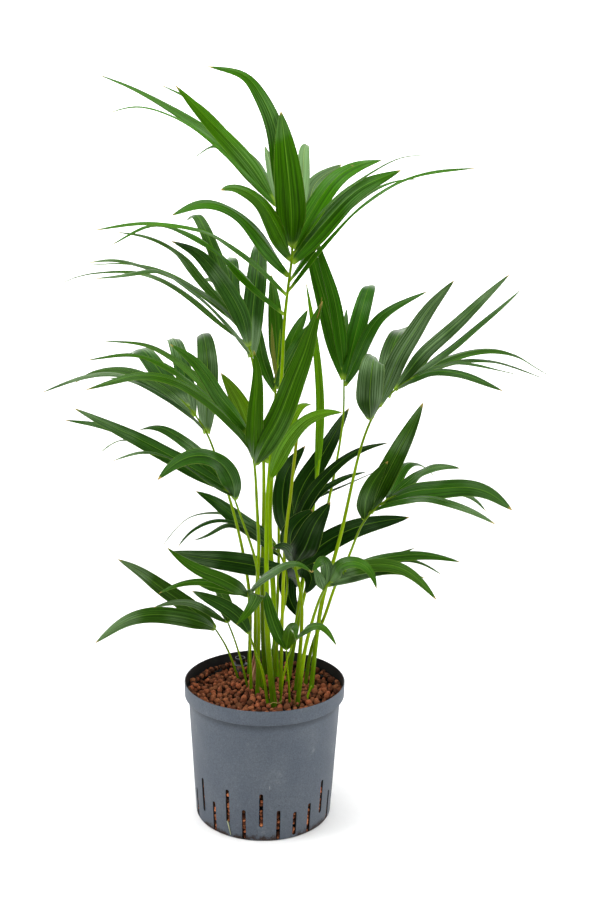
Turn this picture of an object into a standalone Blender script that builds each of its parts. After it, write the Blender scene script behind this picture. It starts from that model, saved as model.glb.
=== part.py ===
"""A young kentia palm in a hydroculture pot, as separate closed solids.

Metres, +Z up. The origin is the middle of the pot's underside, and -Y is the front.
Each frond grew as one piece, so its stalk and leaflets are one solid, rooted in its own
socket in the clay granules. The pot, the granules and the water gauge are the holder.
"""
import math
from collections import namedtuple

import bmesh
import bpy
from mathutils import Matrix, Vector

# The pot: the standard 22 by 19 size, with a raised band at the rim.
POT_HEIGHT = 0.190
RIM_RADIUS = 0.110
BAND_HEIGHT = 0.020
BAND_STEP = 0.0055
BASE_RADIUS = 0.0936
BASE_ROUNDING = 0.0025
WALL = 0.0016
POT_SIDES = 36

# The root slots: 26 of them round the wall, high and low by turns.
SLOT_COUNT = 26
SLOT_WIDTH = 0.0054
HIGH_SLOT = (0.0210, 0.0697)
LOW_SLOT = (0.0012, 0.0445)
SHORT_SLOT = (0.0045, 0.0385)
SHORT_SLOT_INDEX = 2

# The granules and what stands in them.
GAP = 0.0003
GRANULE_TOP = 0.170
ROOT_DEPTH = 0.030
COLLAR_HEIGHT = 0.003
LEAF_THICKNESS = 0.0010

# The water gauge, at the back beside the wall.
GAUGE_AT = Vector((-0.0379, 0.0742, 0.0))
GAUGE_FOOT = 0.004
GAUGE_TOP = 0.1812
GAUGE_RADIUS = 0.0062
GAUGE_WALL = 0.0010
CAP_RADIUS = 0.0072
CAP_TOP = 0.1915
FLANGE_RADIUS = 0.0100
FLANGE_THICKNESS = 0.0014
FLOAT_RADIUS = 0.0016

# Leaf and stalk places are set out in centimetres on a board that stands upright on the pot's
# axis and is looked at from the eye point in front of it: x to the right, z up, and then how many
# depth steps behind the board the point lies on its line of sight.
EYE_X, EYE_DISTANCE, EYE_Z = 4.3, 144.8, 78.5
DEPTH_STEP = 1.7
CENTIMETRE = 0.01

# A leaflet leaves its stalk at a height on the board, and runs through its points to its tip.
# Its upper side faces the front at 0 degrees, up at 90 and the back at 180.
Leaflet = namedtuple("Leaflet", "height width face points")
# A frond's foot is its place in the granules, in centimetres from the pot's axis, and its
# thickness is that of the stalk at the foot and at the end.
Frond = namedtuple("Frond", "foot stalk thickness leaflets")

FRONDS = {
    "frond_top": Frond(
        (1.5, 5.6),
        [(1.4, 24, 3.2), (1.0, 32, 3), (0.4, 40, 2.8), (0.6, 48, 2.6), (1.4, 56, 2.4), (1.8, 62, 2.2),
         (2.0, 68, 2), (2.6, 74, 2), (3.0, 77.2, 2), (2.6, 79.5, 2.5), (1.7, 81.7, 3.5),
         (0.5, 83.3, 4.5), (-0.4, 84.2, 5)],
        (0.80, 0.22),
        [
            Leaflet(82.8, 2.4, 60, [(-5, 89.3, 6), (-10, 92.9, 7), (-16.8, 96.5, 8), (-21.5, 98.2, 9)]),
            Leaflet(82.4, 1.9, 78, [(-5, 88.3, 3), (-10.5, 92.5, 2), (-16.5, 94.6, 1), (-20.4, 93.6, 0)]),
            Leaflet(83.4, 2.5, 35, [(-2.8, 87.8, 4.5), (-7.2, 92.3, 4), (-12, 97.1, 3)]),
            Leaflet(83.0, 1.3, 75, [(-4, 89.5, 8), (-9, 94.8, 10), (-14, 97.2, 11)]),
            Leaflet(83.8, 1.7, 60, [(-3.2, 87, 7), (-6.6, 90.1, 9), (-9.9, 88.2, 11)]),
            Leaflet(84.0, 1.6, 200, [(-1.7, 87.2, 7), (-3.5, 89.5, 10)]),
            Leaflet(81.2, 2.3, 40, [(0.6, 91.8, 1), (-2.1, 97.2, 0), (-3.6, 98.7, -0.5), (-8, 99.4, -1)]),
            Leaflet(77.5, 3.7, 5, [(2.6, 83, 0.5), (1.9, 89, 0), (1.2, 94.2, 0.8)]),
            Leaflet(76.0, 2.8, 40, [(-1, 82.8, -1), (-4.6, 84.8, -3), (-6.3, 84.4, -4.5)]),
            Leaflet(74.0, 2.9, 45, [(-2.6, 80.1, -1), (-6, 82.4, -3), (-9.1, 82.7, -5), (-12.5, 81.2, -7)]),
            Leaflet(71.5, 2.3, 66, [(-1.8, 75.4, 0), (-6.8, 78.6, -2), (-10, 79.7, -4), (-16, 80.3, -6),
                                    (-22.4, 79.2, -8)]),
            Leaflet(69.0, 2.0, 68, [(-2, 72.4, 1), (-5, 75.3, 1), (-8, 77.7, 0), (-11, 79.2, 0),
                                    (-14.5, 80.2, -1), (-17, 79.3, -2), (-20.5, 77.2, -3)]),
            Leaflet(77.4, 2.6, 30, [(5.2, 81.8, 3), (8, 85.9, 4), (11, 87.8, 6), (14, 88.5, 8)]),
            Leaflet(76.6, 1.5, 70, [(6, 81.5, 1), (9.5, 84.8, 0), (13.8, 87.6, -1), (16.8, 89, -2),
                                    (20.5, 89.2, -3)]),
            Leaflet(75.6, 2.9, 25, [(7.2, 80.9, 4), (11.2, 84.9, 6), (16.5, 87.3, 8)]),
            Leaflet(73.2, 1.3, 75, [(7, 79.5, 5), (11, 83.5, 7), (15.5, 85.9, 9), (19.7, 86.3, 11)]),
            Leaflet(72.0, 1.6, 60, [(5.3, 76.1, 1), (9.2, 80.4, -1), (12.1, 83.2, -3), (15.9, 85.7, -5),
                                    (20, 87.1, -7), (26, 87.7, -9)]),
            Leaflet(80.2, 2.0, 190, [(3.9, 84.5, 7), (4.2, 89.7, 10), (4.8, 90, 13)]),
            Leaflet(78.5, 2.6, 170, [(4.9, 83, 7), (5.7, 85.6, 9), (9, 87.9, 12)]),
            Leaflet(82.0, 1.8, 190, [(0.2, 87, 8), (-0.8, 90, 10)]),
        ]),
    "frond_upper_left": Frond(
        (-0.1, 6.4),
        [(-0.3, 24, 3.9), (-0.5, 34, 4), (-0.4, 44, 4.2), (-0.6, 52, 4.4), (-1.3, 58, 4.7), (-1.9, 62, 5),
         (-2.6, 65, 5.5), (-3.7, 67.6, 6.5), (-5, 69.5, 8), (-6, 71, 10)],
        (0.64, 0.20),
        [
            Leaflet(66.8, 2.1, 62, [(-6, 69.8, 4), (-8, 71.3, 3), (-12, 73.4, 1), (-14.5, 74.2, 0),
                                    (-17, 75, -1), (-20, 75.6, -2), (-23.2, 75.1, -3)]),
            Leaflet(63.8, 1.8, 65, [(-4, 66.1, 3.4), (-7, 69.2, 1.8), (-10, 71.8, 0), (-13.6, 74.2, -1.6),
                                    (-16, 74.1, -3.2), (-19, 73.5, -5), (-22.4, 73.1, -7)]),
            Leaflet(65.0, 1.3, 80, [(-6, 67.5, 6), (-10, 70.8, 7), (-14, 73.2, 8), (-18, 74.1, 9),
                                    (-23.9, 73.6, 10), (-27, 72.3, 10.5)]),
            Leaflet(67.4, 1.3, 82, [(-8, 71, 9), (-13, 74, 11), (-18, 75.1, 12), (-24.5, 74.7, 13)]),
            Leaflet(68.8, 1.5, 55, [(-8, 72.3, 8), (-9.5, 74, 8), (-11, 75.9, 8), (-13, 77.4, 7),
                                    (-16, 78.6, 6), (-19.5, 79, 5)]),
            Leaflet(64.6, 2.4, 30, [(-3.4, 68.4, 4), (-5, 71.4, 3), (-7, 74.2, 2), (-9, 76.4, 1),
                                    (-11, 77.4, 0), (-12.6, 78, -1)]),
            Leaflet(69.5, 1.9, 40, [(-6.2, 74.5, 11), (-7.6, 78, 11), (-9.3, 81.3, 13), (-10.6, 80.6, 17)]),
            Leaflet(68.0, 1.9, 40, [(-4.7, 72, 10), (-4.7, 75.6, 12), (-5.2, 76.1, 16)]),
            Leaflet(63.4, 2.9, 30, [(-2.2, 68, 8), (-1.7, 73, 9), (-1.4, 77, 12), (-1.6, 78, 16)]),
            Leaflet(67.8, 1.5, 160, [(-5.3, 69.7, 9), (-7.2, 73.3, 11), (-9, 72.8, 12)]),
        ]),
    "frond_middle_left": Frond(
        (-2.5, 6.9),
        [(-2.1, 24, 3.9), (-2.2, 31, 3.2), (-3.3, 37.8, 2.2), (-4.8, 43.8, 1), (-6.8, 50, 0),
         (-7.8, 52.9, 0), (-8.7, 54.4, 0), (-10, 56.2, 0.5), (-11.6, 57.8, 1.5)],
        (0.54, 0.20),
        [
            Leaflet(54.3, 1.3, 68, [(-12, 57, -1), (-16, 59.6, -2), (-20.5, 60.9, -4), (-25, 60.1, -6),
                                    (-29.6, 58.2, -8)]),
            Leaflet(55.5, 1.8, 60, [(-13, 58.8, 2), (-17, 60.9, 3), (-20, 61.5, 3), (-23.5, 60.8, 3),
                                    (-25.2, 59.6, 3)]),
            Leaflet(56.8, 2.5, 40, [(-12.3, 58.8, 3), (-14.5, 61.6, 4), (-16.4, 64, 6), (-18, 63.6, 10)]),
            Leaflet(55.8, 2.2, 40, [(-10.5, 58.5, 3), (-11.2, 62, 4), (-12.2, 65.4, 6), (-13, 65.2, 11)]),
            Leaflet(53.2, 2.7, 30, [(-8.1, 57, 2), (-7.9, 62, 3), (-8.4, 66, 6), (-9, 66, 10)]),
            Leaflet(53.6, 1.3, 62, [(-10.5, 55.9, -2), (-14.5, 58.4, -4), (-18, 60, -6), (-21, 60.3, -8)]),
        ]),
    "frond_front": Frond(
        (-0.4, 1.9),
        [(-1.3, 24, 1), (-1.2, 32, 0), (-1.0, 38, -1), (-1.3, 43, -2.5), (-1.5, 47, -4),
         (-1.8, 50, -5), (-2.1, 52, -5.5), (-2.8, 54.3, -5.5)],
        (0.64, 0.24),
        [
            Leaflet(50.6, 1.7, 58, [(-4, 53.8, -7), (-6.2, 56, -8), (-8.7, 58, -9), (-12, 60, -10),
                                    (-16.5, 60.8, -11), (-20, 59.9, -12), (-24, 58.6, -13)]),
            Leaflet(51.8, 1.3, 65, [(-4.5, 54.8, -6), (-7.2, 57.3, -6), (-9.7, 59.4, -6), (-12, 61.2, -7),
                                    (-15, 62.7, -7), (-18, 63.5, -8), (-23.8, 62.5, -8)]),
            Leaflet(52.8, 1.2, 68, [(-4.6, 55.3, -5), (-6.8, 57.9, -4), (-9, 60.2, -4), (-11, 62, -3),
                                    (-13, 63.3, -3), (-16, 64.8, -3), (-21.8, 65.1, -3)]),
            Leaflet(53.4, 1.9, 40, [(-4, 55.3, -6), (-6.3, 57.9, -7), (-8, 60.6, -8), (-10, 63, -9),
                                    (-12.8, 64.8, -10)]),
            Leaflet(49.6, 2.0, 0, [(-1.8, 52.5, -7), (-1.6, 57, -8), (-1.4, 61, -8), (-1.9, 64.2, -8)]),
            Leaflet(48.9, 2.9, 10, [(-0.6, 51.5, -7), (1.6, 55.5, -8), (3.2, 60, -8), (4.9, 64.5, -8.5),
                                    (5.7, 67.6, -9), (6.9, 70.7, -9)]),
        ]),
    "frond_centre": Frond(
        (1.4, -4.2),
        [(0.3, 25, -2.6), (0.1, 32, -2.6), (0.0, 38, -2.5), (0.0, 44, -2.3), (0.2, 47, -2.2),
         (0.3, 49, -2), (0.4, 51, -1.5)],
        (0.84, 0.34),
        [
            Leaflet(47.0, 2.1, 45, [(2.0, 51.3, -3), (4.6, 54.8, -4), (7.5, 56.2, -5), (9.8, 56.2, -6)]),
            Leaflet(48.5, 1.7, 40, [(1.9, 52.5, -1), (3.2, 55.6, 0), (4.6, 57.3, 1), (5.7, 57.2, 2)]),
            Leaflet(49.5, 2.7, 15, [(-1.8, 52.5, -1), (-3.3, 56.3, 0), (-4.7, 59, 0), (-6.2, 61.2, 0)]),
        ]),
    "frond_centre_back": Frond(
        (0.6, 8.1),
        [(1.6, 30, 5), (1.6, 42, 5.3), (1.0, 52, 5.8), (0.9, 58, 6.6), (1.1, 61, 7.2), (1.3, 64, 8),
         (1.5, 67, 9)],
        (0.50, 0.20),
        [
            Leaflet(58.8, 1.6, 20, [(-0.6, 62.5, 8), (-1.3, 66, 10), (-2, 70, 12)]),
            Leaflet(60.0, 2.0, 20, [(2.0, 62.5, 8), (3.4, 66.5, 9), (5, 69.6, 11)]),
            Leaflet(59.2, 1.7, 25, [(2.6, 63, 6), (4.2, 66, 6), (5.9, 68.3, 7)]),
            Leaflet(62.0, 2.2, 15, [(1.0, 66, 10), (0.6, 71, 12), (0.2, 74, 14)]),
            Leaflet(60.5, 0.6, 0, [(0.6, 64, 6), (0.35, 67.8, 6)]),
        ]),
    "spear_leaf": Frond(
        (3.2, 5.8),
        [(4.6, 30, 3.4), (5.8, 40, 3.2), (6.5, 46, 2.9), (6.8, 50, 2.7), (6.85, 54.6, 2.5)],
        (0.66, 0.40),
        [
            Leaflet(46.5, 1.1, 10, [(6.9, 54.6, 2.2), (6.7, 60, 2), (6.0, 66, 1.8), (5.4, 69.5, 1.8),
                                    (4.7, 73.2, 2)]),
        ]),
    "cut_stalk": Frond(
        (2.2, 0.3),
        [(2.3, 30, -0.4), (2.6, 40, -1.2), (3.0, 43.3, -1.4), (3.5, 49, -1.7), (3.95, 53.4, -2)],
        (0.50, 0.40),
        []),
    "frond_upper_right": Frond(
        (3.0, 3.6),
        [(5.0, 30, 2.5), (7.0, 38, 2.9), (8.2, 44, 3.2), (9.1, 49, 3.5), (9.8, 54, 3.8), (10, 57, 4),
         (9.9, 59.5, 4), (9.9, 61.5, 4.5), (9.8, 64, 5.5)],
        (0.54, 0.20),
        [
            Leaflet(60.5, 2.4, 35, [(10.7, 64, 4), (11.7, 68.5, 5), (12.7, 72.3, 7), (13.3, 72.9, 11)]),
            Leaflet(59.8, 1.9, 45, [(11.2, 62.6, 3), (12.3, 65.3, 2), (14, 68.4, 1), (16.5, 70.3, 0),
                                    (20.4, 72.2, -1)]),
            Leaflet(60.6, 2.4, 20, [(8.9, 64.3, 5), (7.7, 69, 5), (6.5, 73, 6), (5.4, 76.5, 7),
                                    (4.2, 80, 8)]),
            Leaflet(61.5, 1.7, 20, [(9.3, 66, 3.5), (8.4, 71, 3.5), (6.9, 75.5, 4), (5.8, 79, 5)]),
            Leaflet(62.8, 1.0, 30, [(9.9, 66.5, 8), (10, 69.8, 12)]),
        ]),
    "frond_right": Frond(
        (6.4, 1.6),
        [(6.9, 24, 1), (7.6, 30, 0.5), (9, 35.7, 0), (10.1, 40.2, -0.5), (11.2, 46.1, -1),
         (12.2, 51.1, -1.5), (13.3, 54.7, -2), (14.1, 56.5, -2), (15.5, 58.4, -2), (17, 59.7, -2),
         (18.6, 60.9, -2), (20, 61.6, -2)],
        (0.66, 0.18),
        [
            Leaflet(55.2, 3.2, 10, [(13.3, 58.5, -4), (13.6, 62.8, -5), (14.0, 63.6, -1)]),
            Leaflet(57.0, 2.2, 15, [(15.8, 60.6, -3), (17, 63.8, -3.5), (18.8, 66.8, -4), (20.7, 70, -4),
                                    (23.8, 73.7, -5)]),
            Leaflet(59.3, 1.7, 30, [(19.8, 63.8, -2), (21.8, 65.7, -2), (24.7, 68.4, -2), (27.7, 71.5, -2),
                                    (30.9, 74.6, -2)]),
            Leaflet(60.6, 1.3, 70, [(20.6, 62.6, -1), (23.9, 65, 0), (26.7, 67.5, 1), (29.7, 70.1, 2),
                                    (32.5, 72.7, 3)]),
            Leaflet(61.2, 1.7, 75, [(20.9, 62.2, 1), (23, 63.4, 2), (26, 64.4, 4), (29, 64.8, 5),
                                    (32.2, 64.2, 6), (34.1, 63, 7), (36.8, 61.5, 8)]),
            Leaflet(61.0, 1.5, 75, [(21.5, 62.4, -1), (24.5, 63.3, -1), (27, 63.5, -1), (30, 63.2, 0),
                                    (33.2, 62.2, 0), (36.3, 61, 1)]),
            Leaflet(60.8, 1.3, 78, [(21, 62.1, -3), (23.6, 62.9, -4), (26, 63.0, -5), (29, 62.4, -6),
                                    (32.6, 61.6, -7)]),
            Leaflet(59.6, 1.6, 62, [(18.5, 60.6, -4), (20.8, 61.6, -5), (22.5, 61.9, -6), (25.6, 61.5, -7),
                                    (28.2, 60.5, -8), (30.8, 59.4, -9)]),
            Leaflet(58.4, 2.5, 40, [(15.6, 60.5, 0), (15.7, 63.5, 2), (16.8, 66.6, 5), (17.8, 67.1, 9),
                                    (19.2, 68.0, 12)]),
            Leaflet(60.0, 1.8, 35, [(20, 63.6, 2), (23, 66.9, 5)]),
        ]),
    "frond_middle_right": Frond(
        (5.6, 3.4),
        [(6.4, 24, 1.7), (7.9, 27.6, 0.9), (9.3, 32.3, -0.6), (10.9, 36, -2.4), (12.4, 40.3, -4.6),
         (13.2, 41.8, -5.6), (14.4, 43.3, -6.5), (15.8, 44.5, -7), (17.2, 45.2, -8)],
        (0.52, 0.18),
        [
            Leaflet(42.5, 2.4, 10, [(15.1, 46.3, -7), (16.9, 50.2, -8), (18.9, 54.4, -9), (20.4, 57.8, -9)]),
            Leaflet(41.6, 2.0, -10, [(13.2, 44.5, -7), (14.2, 47.2, -7.5), (16, 49.8, -8)]),
            Leaflet(44.6, 1.5, 70, [(17, 46.8, -5), (18, 49, -4), (19.2, 49.7, -3), (20.6, 49.3, -2),
                                    (22.2, 47.9, -1)]),
            Leaflet(44.4, 1.6, 60, [(17.9, 46.3, -7), (19.8, 47.9, -7), (21.7, 49, -8), (24, 49.3, -8),
                                    (25.6, 49, -8)]),
            Leaflet(43.9, 2.4, 35, [(17.6, 45.1, -8), (19.8, 45.8, -9), (23.7, 46.2, -11),
                                    (26.7, 46.5, -12), (29.7, 45.8, -13), (31.6, 44.3, -14),
                                    (32.8, 43.4, -15)]),
            Leaflet(43.2, 1.7, 60, [(16.5, 44.2, -8.5), (19, 44.7, -10), (21.4, 44.9, -11.5),
                                    (23.8, 44.4, -13), (26.4, 43.6, -14), (28.7, 42.6, -15),
                                    (30.7, 41.4, -16)]),
            Leaflet(44.2, 1.5, 75, [(19, 45.6, -5), (24, 46.0, -5), (27.6, 45.1, -5), (29.3, 43.2, -5)]),
        ]),
    "frond_lower_right": Frond(
        (4.5, -3.1),
        [(5.4, 23, -2.6), (5.9, 25.4, -3.3), (6.5, 27.9, -4.2), (7.2, 30.3, -5.3), (7.9, 32, -6.3),
         (8.6, 33, -7), (9.6, 34, -7.8), (10.8, 34.7, -8.6)],
        (0.60, 0.20),
        [
            Leaflet(33.0, 1.7, 30, [(9.9, 35.3, -10), (11.5, 35.9, -11.5), (13.2, 35.7, -12.5),
                                    (14.6, 34, -13), (15, 32.1, -13)]),
            Leaflet(33.7, 1.6, 40, [(12, 35, -9), (15.1, 35.6, -10), (17.5, 35.4, -11), (19.8, 34.3, -12),
                                    (21.6, 32.6, -13), (23.2, 30.7, -14)]),
            Leaflet(34.4, 1.5, 60, [(12.9, 35.7, -8), (15.4, 36.4, -8), (18.3, 36.9, -8), (21.3, 37, -8),
                                    (23.9, 36.7, -8), (26.2, 36.1, -8)]),
            Leaflet(34.6, 1.1, 65, [(13, 35.9, -6), (15.5, 36.5, -5), (18, 37.2, -4), (20, 38, -3)]),
            Leaflet(34.2, 1.1, 80, [(14, 35.6, -6), (18.5, 36.4, -6), (20.5, 36.1, -6), (22.1, 35.4, -6),
                                    (23.7, 34.3, -6)]),
            Leaflet(32.6, 1.7, 60, [(9.9, 33.4, -7), (12.8, 34.2, -7), (17, 34.9, -8), (21.4, 33.8, -8)]),
            Leaflet(32.3, 1.5, 20, [(8.3, 34.6, -8), (7.9, 35.9, -9), (7.2, 35.9, -10), (6.2, 34.3, -11)]),
            Leaflet(31.8, 1.2, 10, [(7.1, 33.8, -8), (6.4, 35.2, -8.5)]),
            Leaflet(32.8, 1.3, 10, [(8.6, 34.6, -7), (8.7, 35.6, -6.5)]),
        ]),
    "frond_inner_right": Frond(
        (4.3, 1.4),
        [(4.9, 25, 1), (4.9, 30.3, 0.5), (4.4, 33, 0.5), (3.9, 35, 0.5), (3.4, 37.5, 1), (3.1, 40, 2),
         (3.1, 42, 3)],
        (0.60, 0.24),
        [
            Leaflet(38.5, 2.6, 0, [(2.1, 43, 1), (2.5, 48, 1), (5, 51.7, 0)]),
            Leaflet(40.5, 2.7, 20, [(4.6, 46, 4), (6.8, 49.6, 4.6), (8.4, 52.5, 5), (9.7, 55.2, 5),
                                    (10.7, 56.9, 5)]),
            Leaflet(39.5, 1.7, 45, [(5.6, 44.9, 1.2), (7.7, 47.6, 1.2), (9.9, 49.8, 1), (12.7, 51.5, 0.5),
                                    (16, 52.3, 0)]),
            Leaflet(38.7, 1.1, 60, [(6, 44.3, 1.8), (8.6, 46.6, 2.2), (11.3, 47.9, 3), (13.2, 48.3, 4)]),
            Leaflet(38.2, 1.0, 80, [(4.5, 43.4, 4), (7.7, 45.3, 5), (10.6, 46.6, 5), (15.3, 48.8, 5)]),
            Leaflet(35.6, 3.4, 0, [(5.3, 38, -2), (6.4, 41, -3), (8.5, 44.1, -4)]),
            Leaflet(36.6, 2.7, 10, [(3.2, 39.5, 0), (4.4, 41.5, -0.3), (6.2, 43, -0.8)]),
            Leaflet(35.4, 1.7, 30, [(3.2, 36.9, -3), (2.4, 38.1, -4), (0.7, 37.6, -5)]),
            Leaflet(34.6, 2.5, 20, [(5.2, 35, 2), (6.3, 33.6, 2), (5.4, 31.3, 2)]),
            Leaflet(33.2, 2.7, 10, [(3.0, 33.5, 4), (3.2, 30.5, 4.6), (4.9, 27.6, 5)]),
            Leaflet(35.0, 2.8, 30, [(8, 38.6, 1), (10, 39.7, 1), (12, 40.7, 1), (15.5, 41.6, 2),
                                    (19.1, 42.2, 3)]),
        ]),
    "frond_inner_left": Frond(
        (1.0, 2.2),
        [(1.6, 24, 1.5), (2.6, 30, 1.9), (3.0, 33, 2.1), (2.6, 35, 2.6), (1.8, 37, 3.1),
         (0.9, 38.6, 3.3)],
        (0.50, 0.22),
        [
            Leaflet(37.8, 2.2, 20, [(-1, 39.6, 3.4), (-3, 40.9, 3.8), (-5, 42.4, 4.3), (-7, 44, 5),
                                    (-9.5, 45.3, 5.5)]),
            Leaflet(38.4, 1.1, 85, [(-1, 40.5, 3.4), (-3, 42, 4.6), (-6, 42.4, 6.5), (-8, 42.4, 7.5),
                                    (-10.5, 41.7, 8.5), (-12.7, 39.5, 9), (-14, 37.6, 9)]),
            Leaflet(37.0, 1.1, 80, [(-1, 39.6, 3.4), (-3, 40.8, 3.2), (-5.5, 41.4, 3), (-7, 41.4, 2.5), (-9, 40.6, 2),
                                    (-11, 39, 1.5), (-11.9, 37.5, 1)]),
            Leaflet(36.5, 1.1, 60, [(0.6, 37.5, 3.5), (-1, 39, 3.5), (-3, 40.2, 3.5), (-5, 41, 3.5),
                                    (-6.5, 40.2, 3.4), (-8, 39.1, 3.2), (-9.8, 38.5, 3)]),
            Leaflet(35.0, 2.7, 20, [(0, 34.9, 2), (-3, 35.4, 1), (-6, 35.8, 0), (-9, 36.1, -1),
                                    (-12.9, 36.9, -2)]),
        ]),
    "frond_lower_left": Frond(
        (-1.0, -0.4),
        [(-0.9, 25, -0.6), (-1.0, 30, -1.4), (-1.0, 33.5, -2.4), (-1.6, 36.5, -3.6), (-2.4, 39, -4.9),
         (-3.4, 41.7, -6), (-4.1, 43.8, -7), (-4.6, 45.2, -7.3), (-5.4, 46.4, -7.5)],
        (0.54, 0.20),
        [
            Leaflet(45.4, 2.0, 30, [(-8, 47.3, -8), (-11.5, 49.3, -9), (-14, 50.6, -10), (-17, 52.2, -11),
                                    (-20, 53.6, -12), (-25.5, 56.2, -13)]),
            Leaflet(46.0, 1.5, 50, [(-9, 48.6, -7), (-12, 50, -7), (-16, 51.8, -7), (-18.5, 52.9, -7),
                                    (-22, 54, -7), (-26.8, 54.6, -7)]),
            Leaflet(45.8, 1.2, 80, [(-8, 47.9, -6), (-13, 51, -5), (-16, 51.9, -4), (-18.5, 52.2, -3),
                                    (-20.5, 51.7, -2), (-22.2, 50.2, -1)]),
            Leaflet(44.8, 1.2, 65, [(-7, 46.1, -9), (-9, 47.6, -10), (-11.5, 49.2, -11), (-13.5, 50, -12),
                                    (-16, 50.6, -13), (-18, 50.2, -14), (-20.5, 49.2, -15)]),
            Leaflet(44.1, 2.4, 35, [(-4.6, 46.8, -9), (-6.0, 49.0, -10), (-8.5, 50.2, -12),
                                    (-11, 49.8, -13), (-13, 48.4, -14), (-14.6, 46.7, -15)]),
            Leaflet(45.0, 1.6, 55, [(-7, 48, -7), (-9, 50.4, -6), (-11, 52, -5), (-13.5, 53.6, -4),
                                    (-15.5, 53.9, -3), (-17, 53.4, -2)]),
        ]),
    "frond_young": Frond(
        (-1.9, 0.9),
        [(-2.1, 24, -0.6), (-2.3, 28, -2.6), (-2.3, 30.8, -5), (-2.3, 31.4, -5.6)],
        (0.40, 0.24),
        [
            Leaflet(30.7, 1.6, 20, [(-4, 32.1, -7), (-6.3, 33.3, -8), (-9, 34.3, -9), (-12, 36.2, -10),
                                    (-13.4, 37.5, -10)]),
            Leaflet(30.9, 1.2, 55, [(-3.5, 31.6, -6), (-6, 32.4, -6), (-9, 32.8, -6), (-12, 32.3, -6),
                                    (-14.5, 31, -6)]),
            Leaflet(31.2, 1.3, 35, [(-4.3, 31.8, -5), (-6.5, 31.8, -4.5), (-9, 32.2, -4)]),
            Leaflet(31.1, 1.6, 45, [(-1.5, 32.5, -7.5), (0.5, 34, -9), (2.5, 35.2, -10), (4.2, 35.6, -11),
                                    (5.6, 34.9, -12), (6.2, 34.3, -12)]),
            Leaflet(30.8, 1.7, 0, [(-1.2, 31.2, -8), (-1.7, 29.6, -9.5), (-2.8, 28, -10), (-4, 26.7, -10)]),
        ]),
    "seedling_left": Frond(
        (-3.8, 4.8),
        [(-4.6, 21.8, 2.6), (-5.5, 23.9, 2.1), (-6.9, 26.2, 1.4)],
        (0.32, 0.22),
        [
            Leaflet(26.1, 2.2, 10, [(-8.5, 27.7, 1), (-11, 29.6, 1), (-14, 31.7, 0), (-17, 34, -1),
                                    (-20, 35.7, -2)]),
            Leaflet(26.0, 2.2, 25, [(-8, 26.7, 0.5), (-11, 27.6, -1), (-15.5, 28, -2), (-19, 27.1, -3),
                                    (-21.2, 25.5, -3.5), (-23.3, 23.7, -4)]),
        ]),
    "seedling_left_inner": Frond(
        (-2.4, 2.3),
        [(-3.4, 22, 1.0), (-4.3, 24.9, 0.3), (-5.2, 27.2, -0.8)],
        (0.30, 0.22),
        [
            Leaflet(27.1, 1.2, 50, [(-7.8, 28.7, -2), (-10, 29.7, -3), (-12.5, 29.8, -4), (-15.2, 29, -5)]),
            Leaflet(27.0, 1.8, 10, [(-5.4, 29.5, -1), (-6.2, 31.5, 0), (-7.2, 32.6, 1)]),
        ]),
    "seedling_front_left": Frond(
        (0.6, -3.6),
        [(-0.3, 20, -2.2), (-1.2, 22.5, -2.3), (-1.9, 24.6, -2.5), (-2.2, 25.6, -2.6)],
        (0.40, 0.26),
        [
            Leaflet(25.4, 1.9, 20, [(-3.4, 27.6, -3), (-5.4, 29.2, -3.5), (-7.6, 30.3, -4),
                                    (-10, 31.4, -4.5)]),
        ]),
    "seedling_front": Frond(
        (3.5, -3.4),
        [(3.3, 18.5, -2.4), (3.0, 21.5, -3.5), (2.9, 23.4, -4.6)],
        (0.28, 0.20),
        [
            Leaflet(23.2, 1.6, 0, [(1.7, 25.5, -6), (0.8, 28, -6.5), (0.1, 30.6, -6.5), (0.0, 31.5, -5)]),
            Leaflet(23.2, 1.5, 30, [(3.4, 26.2, -8), (4.1, 26.7, -9.4), (4.3, 24.5, -10.4)]),
        ]),
    "seedling_front_right": Frond(
        (2.2, -3.5),
        [(2.5, 19, -2.7), (3.1, 22, -4.3), (3.9, 24.7, -5.8)],
        (0.28, 0.20),
        [
            Leaflet(24.5, 1.2, 45, [(5.2, 26, -8), (7, 26.9, -9), (8.4, 26.2, -10), (9.8, 23.9, -11)]),
        ]),
}


def clear_scene():
    """Remove everything that the start-up file brings."""
    for thing in list(bpy.data.objects):
        bpy.data.objects.remove(thing)


def finish_material(name, colour, roughness):
    """A plain Principled finish."""
    material = bpy.data.materials.new(name)
    material.use_nodes = True
    shader = material.node_tree.nodes["Principled BSDF"]
    shader.inputs["Base Color"].default_value = (*colour, 1.0)
    shader.inputs["Roughness"].default_value = roughness
    shader.inputs["Metallic"].default_value = 0.0
    return material


def mesh_object(name, shape, material=None):
    """Close a bmesh into a named object with its faces pointing out."""
    bmesh.ops.recalc_face_normals(shape, faces=shape.faces)
    mesh = bpy.data.meshes.new(name)
    shape.to_mesh(mesh)
    shape.free()
    thing = bpy.data.objects.new(name, mesh)
    bpy.context.scene.collection.objects.link(thing)
    if material:
        mesh.materials.append(material)
    return thing


def settle(thing):
    """Replace an object's mesh by the result of its modifiers."""
    bpy.context.view_layer.update()
    depsgraph = bpy.context.evaluated_depsgraph_get()
    mesh = bpy.data.meshes.new_from_object(thing.evaluated_get(depsgraph))
    thing.modifiers.clear()
    thing.data = mesh


def combine(body, others, operation):
    """Join pieces to a body, or cut them out of it, and remove them."""
    for other in others:
        change = body.modifiers.new(operation.lower(), "BOOLEAN")
        change.operation = operation
        change.solver = "EXACT"
        change.object = other
        settle(body)
        bpy.data.objects.remove(other)
    return body


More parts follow.
